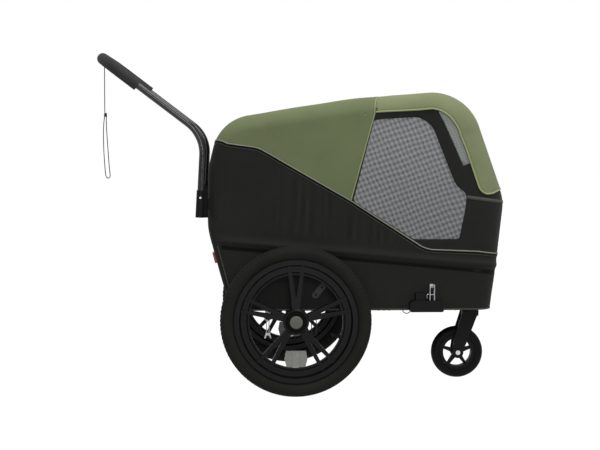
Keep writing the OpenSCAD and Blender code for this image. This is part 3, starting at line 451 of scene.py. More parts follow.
# One output socket of a node: + - * and the named functions below add Math nodes to its look or sky
class Wire:
    def __init__(self, look, socket):
        self.look, self.socket = look, socket

    def math(self, operation, *values):
        return self.look.node("Math", {"operation": operation}, dict(enumerate(values)))

    def __add__(self, other):
        return self.math("ADD", self, other)

    def __sub__(self, other):
        return self.math("SUBTRACT", self, other)

    def __rsub__(self, other):
        return self.math("SUBTRACT", other, self)

    def __mul__(self, other):
        return self.math("MULTIPLY", self, other)

    __radd__ = __add__
    __rmul__ = __mul__

    def sine(self):
        return self.math("SINE", self)

    def atLeast(self, other):
        return self.math("MAXIMUM", self, other)

    # 0 below low and 1 above high, with a straight rise between
    def ramp(self, low, high):
        return self.look.node("MapRange", {"clamp": True}, {"Value": self, "From Min": low, "From Max": high})


# A node tree under construction
class NodeTree:
    def __init__(self, tree):
        self.tree = tree

    def node(self, kind, settings=None, inputs=None, output=0):
        made = self.tree.nodes.new("ShaderNode" + kind)
        for key, value in (settings or {}).items():
            setattr(made, key, value)
        for key, value in (inputs or {}).items():
            self.feed(made.inputs[key], value)
        return Wire(self, made.outputs[output])

    def feed(self, socket, value):
        if isinstance(value, Wire):
            self.tree.links.new(value.socket, socket)
        else:
            socket.default_value = value

    # 1 for rays of the named kinds and 0 for others
    def rays(self, *kinds):
        path = self.tree.nodes.new("ShaderNodeLightPath")
        first, *others = [Wire(self, path.outputs["Is " + kind + " Ray"]) for kind in kinds]
        for other in others:
            first = first.atLeast(other)
        return first


# A material under construction: its nodes, and the sockets of its shader
class Look(NodeTree):
    def __init__(self, name, roughness=0.6, metallic=0.0, **fixed):
        self.material = bpy.data.materials.new(name)
        self.material.use_nodes = True
        super().__init__(self.material.node_tree)
        self.shader = self.tree.nodes["Principled BSDF"]
        self.set("Roughness", roughness)
        self.set("Metallic", metallic)
        for key, value in fixed.items():
            self.set(key.replace("_", " "), value)

    def set(self, name, value):
        self.feed(self.shader.inputs[name], value)

    def place(self):
        return self.node("TexCoord", output="Object")

    def parts(self, vector):
        made = self.tree.nodes.new("ShaderNodeSeparateXYZ")
        self.feed(made.inputs[0], vector)
        return [Wire(self, socket) for socket in made.outputs]

    def attribute(self, name):
        return self.node("Attribute", {"attribute_name": name}, output="Fac")

    def noise(self, scale, detail=3.0, roughness=0.55, vector=None):
        return self.node("TexNoise", None, {"Vector": vector or self.place(), "Scale": scale, "Detail": detail,
                                            "Roughness": roughness})

    def mix(self, share, first, second):
        return self.node("Mix", {"data_type": "RGBA"}, {0: share, 6: first, 7: second}, output=2)

    # Between two shades of one colour
    def tint(self, share, dye, low, high):
        return self.mix(share, shade(dye, low), shade(dye, high))

    def bump(self, height, depth, strength):
        self.set("Normal", self.node("Bump", None, {"Height": height, "Distance": depth, "Strength": strength}))


# A colour from its three screen values, 0 to 255
def colour(r, g, b):
    def linear(c):
        c /= 255
        return c / 12.92 if c <= 0.04045 else ((c + 0.055) / 1.055) ** 2.4
    return (linear(r), linear(g), linear(b), 1.0)


def shade(c, k):
    return (c[0] * k, c[1] * k, c[2] * k, 1.0)


# Coated polyester: a plain weave of crossing threads, faint dust and uneven dye, with painted shade in the folds'
# valleys and a painted highlight on their crests. threads are per metre.
def clothLook(name, dye, threads=900, sheen=0.06, roughness=0.8, dust=0.06):
    look = Look(name, Sheen_Weight=sheen, Sheen_Roughness=0.5, Specular_IOR_Level=0.12)
    x, y, z = look.parts(look.place())
    crossings = threads * fullTurn
    warp = ((x * crossings).sine() * (z * crossings).sine() + 1) * 0.5
    top = ((x * crossings).sine() * (y * crossings).sine() + 1) * 0.5
    weave = warp * 0.6 + top * 0.4
    cloud = look.noise(6.0, 4.0)
    fleck = look.noise(420.0, 2.0)
    wear = look.noise(38.0, 5.0, 0.65)
    base = look.tint(cloud.ramp(0.35, 0.70), dye, 0.90, 1.12)
    base = look.mix(fleck.ramp(0.35, 0.70) * 0.5, base, shade(dye, 1.35))
    base = look.mix(wear.ramp(0.55, 0.80) * dust, base, shade(dye, 1.9))
    fold = look.attribute("fold")
    # Painted highlight on the fold crests and painted shade in their valleys
    base = look.mix(fold.ramp(0, 1) * 0.8, base, shade(dye, 1.75))
    base = look.mix((fold * -1).ramp(0, 1) * 0.8, base, shade(dye, 0.45))
    look.set("Base Color", look.mix(weave * 0.35, base, shade(dye, 0.62)))
    look.set("Roughness", wear * 0.18 + (roughness - 0.08))
    look.bump(weave * 0.7 + fleck * 0.5 + wear * 1.4, 0.0005, 0.55)
    return look.material


# Netting: fine holes, and the broad light and dark bands, square to each other, that two layers of it make together
def nettingLook(name, thread, dark, beats=(0.0143, 0.0176), hole=0.0030, cover=0.62):
    look = Look(name, roughness=0.8, Specular_IOR_Level=0.15, Sheen_Weight=0.1)
    x, y, z = look.parts(look.place())
    lattice = ((x * (fullTurn / hole)).sine() * ((z + y) * (fullTurn / hole)).sine()) * 0.5 + 0.5
    sway = look.noise(9.0, 2.0) * 5.0
    bandA = ((x * 0.92 + z * 0.39) * (fullTurn / beats[0]) + sway).sine()
    bandB = ((z * 0.94 - x * 0.34) * (fullTurn / beats[1]) - sway).sine()
    blotch = look.noise(160.0, 2.0)
    share = (bandA * 0.22 + bandB * 0.22 + blotch).ramp(0.0, 1.0)
    # Towards the bottom the netting is painted darker: painted shade
    look.set("Base Color", look.mix(z.ramp(0.46, 0.86), look.mix(share, shade(dark, 0.72), shade(thread, 0.80)),
                                    look.mix(share, dark, thread)))
    look.set("Alpha", 1 - lattice.ramp(cover, cover + 0.12) * 0.8)
    look.bump(lattice, 0.0004, 0.5)
    return look.material


# Powder-coated tube: fine orange peel and thin rubbed patches
def powderLook(name, coat, roughness=0.42, shine=0.3):
    look = Look(name, Specular_IOR_Level=shine)
    peel, rub = look.noise(900.0, 2.0), look.noise(26.0, 5.0, 0.7)
    look.set("Base Color", look.mix(rub.ramp(0.52, 0.78) * 0.5, coat, shade(coat, 1.7)))
    look.set("Roughness", rub * 0.2 + (roughness - 0.1))
    look.bump(peel, 0.00005, 0.3)
    return look.material


# Moulded plastic: fine spark-eroded grain, faint flow clouds and paler scuffs
def mouldedLook(name, dye, roughness=0.5, grain=0.0002, scuff=0.35, grainScale=1500.0, shine=0.18):
    look = Look(name, Specular_IOR_Level=shine)
    fine, cloud, scratch = look.noise(grainScale, 2.0), look.noise(12.0, 3.0), look.noise(70.0, 6.0, 0.75)
    base = look.tint(cloud.ramp(0.3, 0.7), dye, 0.88, 1.15)
    look.set("Base Color", look.mix(scratch.ramp(0.60, 0.78) * scuff, base, shade(dye, 2.0)))
    look.set("Roughness", scratch * 0.2 + (roughness - 0.1))
    look.bump(fine + scratch * 0.4, grain, 0.6)
    return look.material


# Bare or plated steel: drawn streaks along the part and soft stains
def metalLook(name, metal, roughness=0.3, streak=400.0):
    look = Look(name, metallic=1.0)
    line = look.node("Mapping", None, {"Vector": look.place(), "Scale": (1.0, 1.0, 9.0)})
    drawn = look.noise(streak, 3.0, 0.6, line)
    stain = look.noise(45.0, 5.0, 0.7)
    look.set("Base Color", look.mix(stain.ramp(0.45, 0.80) * 0.6, metal, shade(metal, 0.55)))
    look.set("Roughness", drawn * 0.15 + stain * 0.15 + (roughness - 0.14))
    look.bump(drawn, 0.0001, 0.5)
    return look.material


# Rubber: a dull skin with pores, and pale dust that gathers where the noise is high
def rubberLook(name, dye, roughness=0.78, dust=0.4, pores=700.0):
    look = Look(name, Specular_IOR_Level=0.14)
    pore, cloud, grit = look.noise(pores, 3.0), look.noise(9.0, 4.0), look.noise(160.0, 5.0, 0.7)
    base = look.tint(cloud.ramp(0.35, 0.7), dye, 0.85, 1.2)
    look.set("Base Color", look.mix(grit.ramp(0.52, 0.78) * dust, base, shade(dye, 2.4)))
    look.set("Roughness", grit * 0.16 + (roughness - 0.08))
    look.bump(pore + grit * 0.6, 0.00035, 0.7)
    return look.material


# Closed-cell foam: round cells of about a millimetre
def foamLook(name, dye):
    look = Look(name, Specular_IOR_Level=0.3)
    cell = look.node("TexVoronoi", None, {"Vector": look.place(), "Scale": 750.0}, output="Distance")
    cloud = look.noise(14.0, 4.0)
    base = look.tint(cloud.ramp(0.35, 0.7), dye, 0.85, 1.2)
    look.set("Base Color", look.mix(cell.ramp(0.1, 0.6) * 0.5, base, shade(dye, 0.6)))
    look.set("Roughness", cell * 0.15 + 0.72)
    look.bump(cell, 0.0006, 0.7)
    return look.material


# A reflector's lens: small prisms under a clear skin
def lensLook(name, dye, prism=0.0032):
    look = Look(name, roughness=0.22, Coat_Weight=0.6, Coat_Roughness=0.08)
    x, y, z = look.parts(look.place())
    cube = ((x * (fullTurn / prism)).sine() * (z * (fullTurn / prism)).sine()) * 0.5 + 0.5
    cloud = look.noise(60.0, 3.0)
    base = look.mix(cube.ramp(0.2, 0.9) * 0.55, dye, shade(dye, 0.55))
    look.set("Base Color", look.mix(cloud.ramp(0.5, 0.8) * 0.3, base, shade(dye, 1.25)))
    look.set("Roughness", cloud * 0.2 + 0.15)
    look.bump(cube, 0.0006, 0.8)
    return look.material


# Webbing and cords: ribs that run across the strap, read from the piece's own along attribute
def webbingLook(name, dye, pitch=0.0022):
    look = Look(name, Sheen_Weight=0.3, Specular_IOR_Level=0.3)
    along = look.attribute("along")
    rib = (along * (fullTurn / pitch)).sine() * 0.5 + 0.5
    cloud = look.noise(90.0, 3.0)
    base = look.tint(rib * 0.6, dye, 1.35, 0.6)
    look.set("Base Color", look.mix(cloud.ramp(0.4, 0.75) * 0.5, base, shade(dye, 1.6)))
    look.set("Roughness", cloud * 0.1 + 0.72)
    look.bump(rib, 0.0004, 0.7)
    return look.material


looks = {
    "blackCloth": clothLook("blackCloth", colour(33, 34, 32)),
    "greenCloth": clothLook("greenCloth", colour(107, 116, 83)),
    # The flap's cloth is the green cloth made paler: painted light falling on the front top
    "litGreenCloth": clothLook("litGreenCloth", colour(122, 130, 97)),
    "paleTape": clothLook("paleTape", colour(150, 160, 116), threads=700, dust=0.0),
    "greyTape": clothLook("greyTape", colour(138, 141, 126), threads=700, dust=0.0),
    "duskTape": clothLook("duskTape", colour(74, 75, 68), threads=700, dust=0.0),
    # Black zip tape; the same colour makes the painted shadow strip under the rail
    "zipTapeAndPaintedShadow": clothLook("zipTapeAndPaintedShadow", colour(10, 10, 9), threads=500, dust=0.0),
    "greyNet": nettingLook("greyNet", colour(170, 171, 173), colour(100, 101, 103)),
    "paleNet": nettingLook("paleNet", colour(158, 161, 157), colour(128, 132, 127), (0.009, 0.009), cover=0.75),
    "framePaint": powderLook("framePaint", colour(26, 26, 28)),
    "handlePaint": powderLook("handlePaint", colour(12, 12, 13), 0.16, 0.5),
    "blackPlastic": mouldedLook("blackPlastic", colour(9, 9, 10), shine=0.14),
    "ringPlastic": mouldedLook("ringPlastic", colour(3, 3, 3), 0.42, shine=0.06),
    "rimPlastic": mouldedLook("rimPlastic", colour(8, 8, 8), 0.40, 0.00025, 0.2, shine=0.16),
    "rackPlastic": mouldedLook("rackPlastic", colour(4, 4, 4), 0.5, shine=0.1),
    "floorPlastic": mouldedLook("floorPlastic", colour(30, 30, 31), 0.6, 0.0004),
    "capPlastic": mouldedLook("capPlastic", colour(102, 103, 96), 0.45, 0.00015, 0.15),
    "zinc": metalLook("zinc", colour(176, 176, 180), 0.32),
    "polished": metalLook("polished", colour(214, 214, 218), 0.18, 900.0),
    "foam": foamLook("foam", colour(52, 52, 53)),
    "tread": rubberLook("tread", colour(28, 28, 26)),
    "frontTyre": rubberLook("frontTyre", colour(1.5, 1.5, 1.5), 0.6, 0.2),
    "redLens": lensLook("redLens", colour(190, 28, 34)),
    "clearLens": lensLook("clearLens", colour(128, 128, 123)),
    "cord": webbingLook("cord", colour(12, 12, 12)),
    "webbing": webbingLook("webbing", colour(36, 36, 37)),
}


def both(name):
    return [name + "_left", name + "_right"]


nodeLooks = {
    "framePaint": ["base_frame", *both("side_rail"), "corner_posts", "axle_beam", "rear_hoop", "front_hoop",
                   "nose_bow", "link_plate"],
    "handlePaint": ["handle_tube"],
    # The hitch pin's black plastic finish paints the shade inside the hitch channel
    "blackPlastic": ["hitch_pin", "hinge_blocks", "hitch_housing", "caster_head", "handle_sockets", "caster_fork",
                     "caster_rim"],
    "ringPlastic": both("hub_ring"),
    "rimPlastic": both("rim"),
    "floorPlastic": ["floor_board"],
    "capPlastic": both("hub_button"),
    "zinc": ["hinge_pins", *both("axle"), "hitch_channel", "hitch_clip", "safety_clip", *both("bearings")],
    "polished": [*both("snap_button"), "caster_bolt"],
    "foam": ["foam_grip"],
    "tread": both("tyre"),
    "frontTyre": ["caster_tyre", *both("valve")],
    "redLens": ["rear_reflector"],
    "clearLens": both("spoke_reflector"),
    "webbing": ["tether_loops"],
}
for lookName, nodeNames in nodeLooks.items():
    for nodeName in nodeNames:
        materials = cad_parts[nodeName].data.materials
        materials.clear()
        materials.append(looks[lookName])
print("finishes:", len(looks))

# ---- wrist strap: a thin cord from the push bar that ends in a long loop, tied with a knot; the route is in mm
strap = {
    "across": -0.150, "width": 0.003, "sides": 10, "steps": 6,
    "route": [(-642, 1097.5), (-642, 1084), (-642, 1050), (-642, 1000), (-642, 955), (-642, 932), (-645, 908),
              (-647, 870), (-646, 810), (-643, 760), (-641, 735), (-638.5, 722), (-632, 716), (-625.5, 722),
              (-626, 735), (-629, 770), (-633, 830), (-636, 880), (-637, 910), (-637, 930)],
    "knot": {"core": (-0.6395, 0.931), "turns": 3.3, "points": 150, "wide": 0.0043, "deep": 0.0031, "half": 0.0055,
             "radius": 0.0013, "sides": 8, "ribs": 0.004},
}


# A smooth curve through the route's points: each stretch is a cubic with the neighbours' chord as its slope
def smoothRoute(points, steps):
    p = np.concatenate([points[:1], points, points[-1:]])
    t = np.linspace(0, 1, steps, endpoint=False)[None, :, None]
    a, b, c, d = p[:-3, None], p[1:-2, None], p[2:-1, None], p[3:, None]
    curve = 0.5 * (2 * b + (c - a) * t + (2 * a - 5 * b + 4 * c - d) * t ** 2 + (3 * b - a - 3 * c + d) * t ** 3)
    return np.concatenate([curve.reshape(-1, points.shape[1]), points[-1:]])


# A coil of a few turns about an upright line
def addKnot(across, core, turns, points, wide, deep, half, radius, sides, ribs):
    angle = np.linspace(0, 2 * turns * np.pi, points)
    middle = np.array([core[0] + slide, across, core[1]])
    line = middle + np.stack([wide * np.cos(angle), deep * np.sin(angle), np.linspace(-half, half, points)], -1)
    return addSweep("strapKnot", line, np.broadcast_to(np.array([0.0, 0, 1.0]), line.shape),
                    circleProfile(radius, sides), looks["cord"], "rear_frame", "webbing",
                    values={"along": np.repeat(angle * ribs, sides)})


def addStrap(across, width, sides, steps, route, knot):
    line = np.array(route) / 1000
    points = smoothRoute(np.stack([line[:, 0] + slide, np.full(len(line), across), line[:, 1]], -1), steps)
    up = np.broadcast_to(np.array([0.0, 1.0, 0.0]), points.shape)
    along = np.concatenate([[0], np.cumsum(np.linalg.norm(np.diff(points, axis=0), axis=1))])
    cord = addSweep("wristStrap", points, up, circleProfile(width / 2, sides), looks["cord"], "rear_frame", "webbing",
                    replaces=["wrist_strap"], values={"along": np.repeat(along, sides)})
    addKnot(across, **knot)


addStrap(**strap)
print("strap made")

# ---- the cabin's cloth
clothWall = {"thick": 0.0014, "shadowStripThick": 0.0005, "spacing": 0.005, "foldKeep": 0.32, "netFoot": 0.792,
             "netLap": 0.006, "noseFrom": 0.40, "sideNetLift": -0.0022, "frontNetLift": -0.0025,
             "eaveAngles": (0, 0.3, 5)}


# A wall that grows inwards from the faces
def thicken(piece, thick=clothWall["thick"]):
    solid = piece.modifiers.new("wall", "SOLIDIFY")
    solid.thickness, solid.offset = thick, -1.0
    return piece


# Gives the piece its own copy of its mesh
def folds(piece):
    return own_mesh(piece)


# Faces turned so that they look outwards
def facing(points, faces, outwards):
    flat, aim = points.reshape(-1, 3), outwards.reshape(-1, 3)
    normal = np.cross(flat[faces[:, 1]] - flat[faces[:, 0]], flat[faces[:, 2]] - flat[faces[:, 0]])
    wrong = (normal * aim[faces[:, 0]]).sum(1) < 0
    faces = faces.copy()
    faces[wrong] = faces[wrong, ::-1]
    return flat, faces


def gridPart(points, outwards):
    return facing(points, gridFaces(*points.shape[:2]), outwards)


# A part is its points and its faces
def bandPart(rows, start=0.0, lift=0.0):
    return gridPart(*bandPoints(rows, start, lift))


def flankPart(loop, side, holes=(), lift=0.0):
    flat, faces = fillLoop(loop, clothWall["spacing"], holes, railWay)
    points, outwards = sidePoints(flat, side, lift)
    return facing(points, faces, outwards)


def flankParts(loop, holes=(), lift=0.0):
    return [flankPart(loop, side, holes, lift) for side, _ in sides]


# One cover sewn from its parts: points that meet become one
def addCover(name, parts, look, slot, replaces=(), folding=True):
    points = np.concatenate([part[0] for part in parts])
    _, first, same = np.unique(np.round(points, 6), axis=0, return_index=True, return_inverse=True)
    faces, base = [], 0
    for part in parts:
        faces += same.reshape(-1)[part[1] + base].tolist()
        base += len(part[0])
    # The fold attribute carries the folds' height; the cloth's finish turns it into painted highlight and shade
    piece = thicken(addPiece(name, points[first], faces, look, "chassis", slot, replaces=replaces,
                             values={"fold": foldShare(points[first])}))
    return folds(piece) if folding else piece


def shoulderRun(a, b):
    rows = np.arange(a, b + 1) if b >= a else np.arange(a, b - 1, -1)
    return shoulder[rows]


railLine = evenly(np.array([railFoot, railTop]), edgeSpacing)
last = len(outline["at"]) - 1
tubLoop = np.concatenate([shoulderRun(0, rearSplit)[:-1], railLine[:-1], shoulderRun(frontSplit, last)[:-1],
                          evenly(np.array([shoulder[last], shoulder[0]]), edgeSpacing)[:-1]])
blackLoop = np.concatenate([railLine[::-1][:-1], shoulderRun(rearSplit, pipingRearRow)[:-1], pipingLine[:-1],
                            shoulderRun(pipingFront, frontSplit)[:-1]])
cut = int(np.argmin(np.linalg.norm(pipingLine - seamFoot, axis=1)))
greenLoop = np.concatenate([pipingLine[:cut], seamLine[:-1], shoulderRun(seamRow, pipingRearRow)[:-1]])
# The front hoop's crease: it leaves the shoulder near the roof and meets it again lower down
creaseTop, creaseFoot = (shoulderRow(height, noseStart) for height in sideLines["creaseEnds"])
crease = evenly(rounded([shoulderCorner(creaseTop), *slid(sideLines["crease"]),
                         shoulderCorner(creaseFoot)], sideLines["shortSteps"]), spacing)
creaseLoop = np.concatenate([crease[:-1], shoulderRun(creaseFoot, creaseTop)[:-1]])
frameLoop = np.concatenate([seamLine[:-1], shoulderRun(seamRow, creaseTop)[:-1], crease[:-1],
                            shoulderRun(creaseFoot, pipingFront)[:-1], pipingLine[::-1][:len(pipingLine) - cut - 1]])
# The netting reaches a little way behind the black frame
netLoop = windowLoop + clothWall["netLap"] * unit(windowLoop - windowLoop.mean(0))

# ---- the covers: side parts, and bands that go over the cabin from side to side
rearRows = np.arange(rearSplit, pipingRearRow + 1)
roofRows = np.arange(pipingRearRow, seamRow + 1)
flapRows = np.arange(seamRow, sillRow + 1)
noseRows = np.arange(sillRow, frontSplit + 1)
sides = ((-1, "right"), (1, "left"))
tubBands = [bandPart(np.arange(0, rearSplit + 1)), bandPart(np.arange(frontSplit, last + 1))]
addCover("tubCloth", flankParts(tubLoop) + tubBands, looks["blackCloth"], "black_fabric",
         ["tub_side_left", "tub_side_right", "tub_rear", "tub_front"], False)
onNose = outline["x"][flapRows] > clothWall["noseFrom"]
footRows = flapRows[(outline["z"][flapRows] <= clothWall["netFoot"] + clothWall["netLap"]) & onNose]
eaves = [gridPart(*skinPoints(np.arange(seamRow, creaseTop + 1), side, np.linspace(*clothWall["eaveAngles"])[None]))
         for side, _ in sides]
addCover("blackCover", flankParts(blackLoop) + flankParts(frameLoop, [windowLoop]) + eaves
         + [bandPart(rearRows), bandPart(footRows), bandPart(noseRows)], looks["blackCloth"], "black_fabric",
         ["rear_cover", "front_panel"])
addCover("greenCover", flankParts(greenLoop) + [bandPart(roofRows)], looks["greenCloth"], "green_fabric",
         ["side_cover_left", "side_cover_right", "roof_cover"])
for side, hand in sides:
    addCover("windowNet" + hand.capitalize(), [flankPart(netLoop, side, lift=clothWall["sideNetLift"])],
             looks["greyNet"], "netting", ["window_net_" + hand])

# The flap starts at the shoulder on the roof, draws in along the nose and ends in a rounded corner
flap = {"angles": ((-0.05, 4.0), (0.04, 7.5), (0.14, 8.5), (0.27, 15.0)), "corner": 0.040, "cornerAngle": 22.0,
        "lift": 0.0022, "liftOver": 0.06}


# The edge angle at which each row of the flap begins, and how far the row is lifted
def flapStart(angles, corner, cornerAngle, lift, liftOver):
    at = outline["at"][flapRows]
    drawn = np.radians(np.interp(at - noseStart, *zip(*angles)))
    t = np.clip((at - at[-1] + corner) / corner, 0, 1)
    return drawn + math.radians(cornerAngle) * (1 - np.sqrt(1 - t * t)), lift * smooth01((at - at[0]) / liftOver)


flapAngle, flapLift = flapStart(**flap)
# The flap's paler green is painted light
addCover("frontFlap", [bandPart(flapRows, flapAngle, flapLift[:, None])], looks["litGreenCloth"], "pale_fabric",
         ["front_cover"])

# The front window lies under the flap: a strip of netting shows beside it
netRows = flapRows[(outline["z"][flapRows] > clothWall["netFoot"]) & onNose]
netParts = flankParts(creaseLoop, lift=clothWall["frontNetLift"]) + [bandPart(netRows, lift=clothWall["frontNetLift"])]
addCover("frontNet", netParts, looks["paleNet"], "netting", ["front_net"])

# Each cloth laid flat: estimated width and length, the area of one layer of its mesh, and what it is drawn over
cuts = {"tubCloth": (3.10, 0.23, 0.554, ["base_frame", "corner_posts"]),
        "blackCover": (1.30, 1.05, 0.880, ["rear_hoop", "nose_bow"]),
        "greenCover": (1.30, 0.56, 0.504, ["rear_hoop", "front_hoop"]),
        "windowNetRight": (0.42, 0.41, 0.117, ["blackCover"]),
        "windowNetLeft": (0.42, 0.41, 0.117, ["blackCover"]),
        "frontFlap": (0.58, 0.69, 0.398, ["front_hoop", "nose_bow"]),
        "frontNet": (0.60, 0.43, 0.226, ["front_hoop", "nose_bow"])}
for name, (width, length, area, over) in cuts.items():
    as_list(over)
print("bands made")

# ---- piping, tapes and seams
piping = {"radius": 0.0020, "lift": 0.0006, "tapeWide": 0.0068, "tapeUnder": 0.0004, "edgeRadius": 0.0011,
          "edgeGap": 0.0006, "seamRadius": 0.0015, "seamFlat": 0.7, "seamAside": -0.0028, "overLift": 0.0004,
          "flapRadius": 0.0031, "flapFlat": 0.6, "hemRadius": 0.0024, "hemFlat": 0.8, "hemUp": 0.003,
          "cornerRadius": 0.00165, "cornerLift": 0.0005, "sides": 10, "edgeSides": 8,
          "rearSteps": 10, "noseSteps": 16, "edgeSteps": 14, "acrossSteps": 70}


# From one side, over the cabin and down the other: the right half, a straight run across, the left half
def overPath(half, lift, closing=None):
    (right, rightOut), (left, leftOut) = half(-1, lift), half(1, lift)
    t = np.linspace(0, 1, piping["acrossSteps"])[1:-1, None]
    across = right[-1] * (1 - t) + left[-1] * t
    path = [right, across, left[::-1]]
    ups = [rightOut, np.broadcast_to(rightOut[-1], across.shape), leftOut[::-1]]
    if closing:
        path.append(left[0] * (1 - t) + right[0] * t)
        ups.append(np.broadcast_to(rightOut[0], across.shape))
    return np.concatenate(path), np.concatenate(ups)


# Runs of points and outward ways joined into one
def joined(*runs):
    return tuple(np.concatenate(columns) for columns in zip(*runs))


# The skin along one row, from one edge angle to another
def rowRun(row, side, start, end, steps, lift):
    points, outwards = skinPoints(np.array([row]), side, np.linspace(start, end, steps)[None], lift)
    return points[0], outwards[0]


# From the middle of the rear face, round the edge, along the side and round the nose
def roundHalf(rearRow, flat, noseRow, noseSteps):
    def half(side, lift):
        return joined(rowRun(rearRow, side, np.pi / 2, 0, piping["rearSteps"], lift), sidePoints(flat, side, lift),
                      rowRun(noseRow, side, 0, np.pi / 2, noseSteps, lift))
    return half


def seamHalf(side, lift):
    return joined(sidePoints(seamLine[:-1], side, lift),
                  rowRun(seamRow, side, 0, np.pi / 2, piping["edgeSteps"], lift))


def flapHalf(side, lift):
    edge, edgeOut = skinPoints(flapRows, side, flapAngle[:, None], lift + flapLift[:, None])
    hem, hemOut = rowRun(flapRows[-1], side, flapAngle[-1], np.pi / 2, piping["edgeSteps"], lift + flapLift[-1])
    return joined((edge[:, 0], edgeOut[:, 0]), (hem[1:], hemOut[1:]))


# A flat tape from start to start + wide, whose edges reach a little into the cloth
def tapeProfile(start, wide, thick=0.0008, sunk=-0.0003, slope=0.0004):
    return np.array([[start, sunk], [start, thick], [start + wide, thick], [start + wide + slope, sunk]])


def addTrim(name, line, profile, look, slot="black_fabric", closed=False, folding=True):
    piece = addSweep(name, *line, profile, looks[look], "chassis", slot, closed=closed)
    return folds(piece) if folding else piece


pipingHalf = roundHalf(pipingRearRow, pipingLine[1:-1], pipingFront, piping["noseSteps"])
line = overPath(pipingHalf, piping["lift"], True)
addTrim("piping", line, circleProfile(piping["radius"], piping["sides"]), "greyTape", "pale_fabric", True)
tape = tapeProfile(piping["radius"] - piping["tapeUnder"], piping["tapeWide"])
addTrim("pipingTape", line, tape, "zipTapeAndPaintedShadow", closed=True)
edge = circleProfile(piping["edgeRadius"], piping["edgeSides"])
edge = edge + np.array([piping["radius"] + piping["tapeWide"] + piping["edgeGap"], 0.0])
addTrim("pipingEdge", line, edge, "duskTape", closed=True)
seamProfile = circleProfile(piping["seamRadius"], piping["sides"], piping["seamFlat"])
addTrim("seamPiping", overPath(seamHalf, piping["overLift"]), seamProfile + np.array([piping["seamAside"], 0.0]),
        "paleTape", "pale_fabric")
addTrim("flapPiping", overPath(flapHalf, piping["overLift"]),
        circleProfile(piping["flapRadius"], piping["sides"], piping["flapFlat"]), "paleTape", "pale_fabric")
hemLine = evenly(np.array([shoulder[0], shoulder[last]]), edgeSpacing)[1:-1]
path, up = overPath(roundHalf(0, hemLine, last, piping["edgeSteps"]), 0.0)
addTrim("hemPiping", (path + np.array([0.0, 0.0, piping["hemUp"]]), up),
        circleProfile(piping["hemRadius"], piping["sides"], piping["hemFlat"]), "duskTape", folding=False)

# A flat seam runs level from the side window to the nose below the flap; its pale tape is a painted highlight
sill = {"wide": 0.011, "thick": 0.001, "lift": 0.0005, "steps": 18, "foot": (0.573, 0.6565), "shoulder": 0.653,
        "nose": 0.636}


# The station row at which the skin lies at a height, for each edge angle
def levelRows(a, height):
    rows = np.arange(stationRow(noseStart), last)
    _, z, rho, _, inZ = (column[:, None] for column in outlineAt(outline["at"][rows]))
    level = z + rho * (1 - np.sin(a)[None]) * inZ
    return np.array([np.interp(-h, -level[:, k], rows) for k, h in enumerate(height)])


def sillHalf(side, lift):
    a = np.linspace(0, np.pi / 2, sill["steps"])
    rows = levelRows(a, sill["shoulder"] + (sill["nose"] - sill["shoulder"]) * np.sin(a))
    over, overOut = skinPoints(rows, side, a[:, None], lift)
    foot = np.array([sill["foot"][0] + slide, sill["foot"][1]])
    flat = evenly(np.array([foot, over[0, 0, [0, 2]]]), spacing)[:-1]
    return joined(sidePoints(flat, side, lift), (over[:, 0], overOut[:, 0]))


addTrim("sillSeamPaintedHighlight", overPath(sillHalf, sill["lift"]), tapeProfile(-sill["wide"] / 2, sill["wide"], sill["thick"]),
        "duskTape")

# A seam runs down the tub's rear corners
for side, hand in sides:
    addTrim("cornerSeam" + hand.capitalize(),
            sidePoints(evenly(shoulder[:rearSplit - 1], spacing), side, piping["cornerLift"]),
            circleProfile(piping["cornerRadius"], piping["edgeSides"]), "duskTape", folding=False)

# A near-black strip along the hollow under the rail is a painted shadow where the lower cloth tucks in
railShadow = {"off": -0.0135, "wide": 0.0135, "steps": 9, "over": (0.05, 1.2, 16), "lift": 0.0006}
for side, hand in sides:
    across = np.linspace(-0.5, 0.5, railShadow["steps"]) * railShadow["wide"] + railShadow["off"]
    points, outwards = sidePoints(railLine[3:-2, None] + railOff * across[None, :, None], side, railShadow["lift"])
    rows = frontSplit - across / cabin["step"]
    over, overOut = skinPoints(rows, side, np.linspace(*railShadow["over"])[None], railShadow["lift"])
    points = np.concatenate([points, over.transpose(1, 0, 2)])
    outwards = np.concatenate([outwards, overOut.transpose(1, 0, 2)])
    flat, faces = gridPart(points, outwards)
    thicken(addPiece("railShadowStrip" + hand.capitalize(), flat, faces, looks["zipTapeAndPaintedShadow"], "chassis", "black_fabric"),
            clothWall["shadowStripThick"])
print("piping made")

# ---- tyres: a rounded section whose crown carries rows of small blocks, the next row half a pitch on
tyre = {"blocks": 105, "perBlock": 8, "crown": 1.09, "crownSteps": 36, "wall": 2.6, "wallSteps": 14, "rows": 5,
        "blockHigh": 0.0022, "blockLong": (-0.55, 0.4), "rowEdge": 0.16, "bead": 0.0118, "beadIn": 0.026,
        "grooves": (1.62, 2.12), "grooveDeep": 0.0009, "grooveWide": 0.045, "crownGap": 0.04, "crownEdge": 0.02}


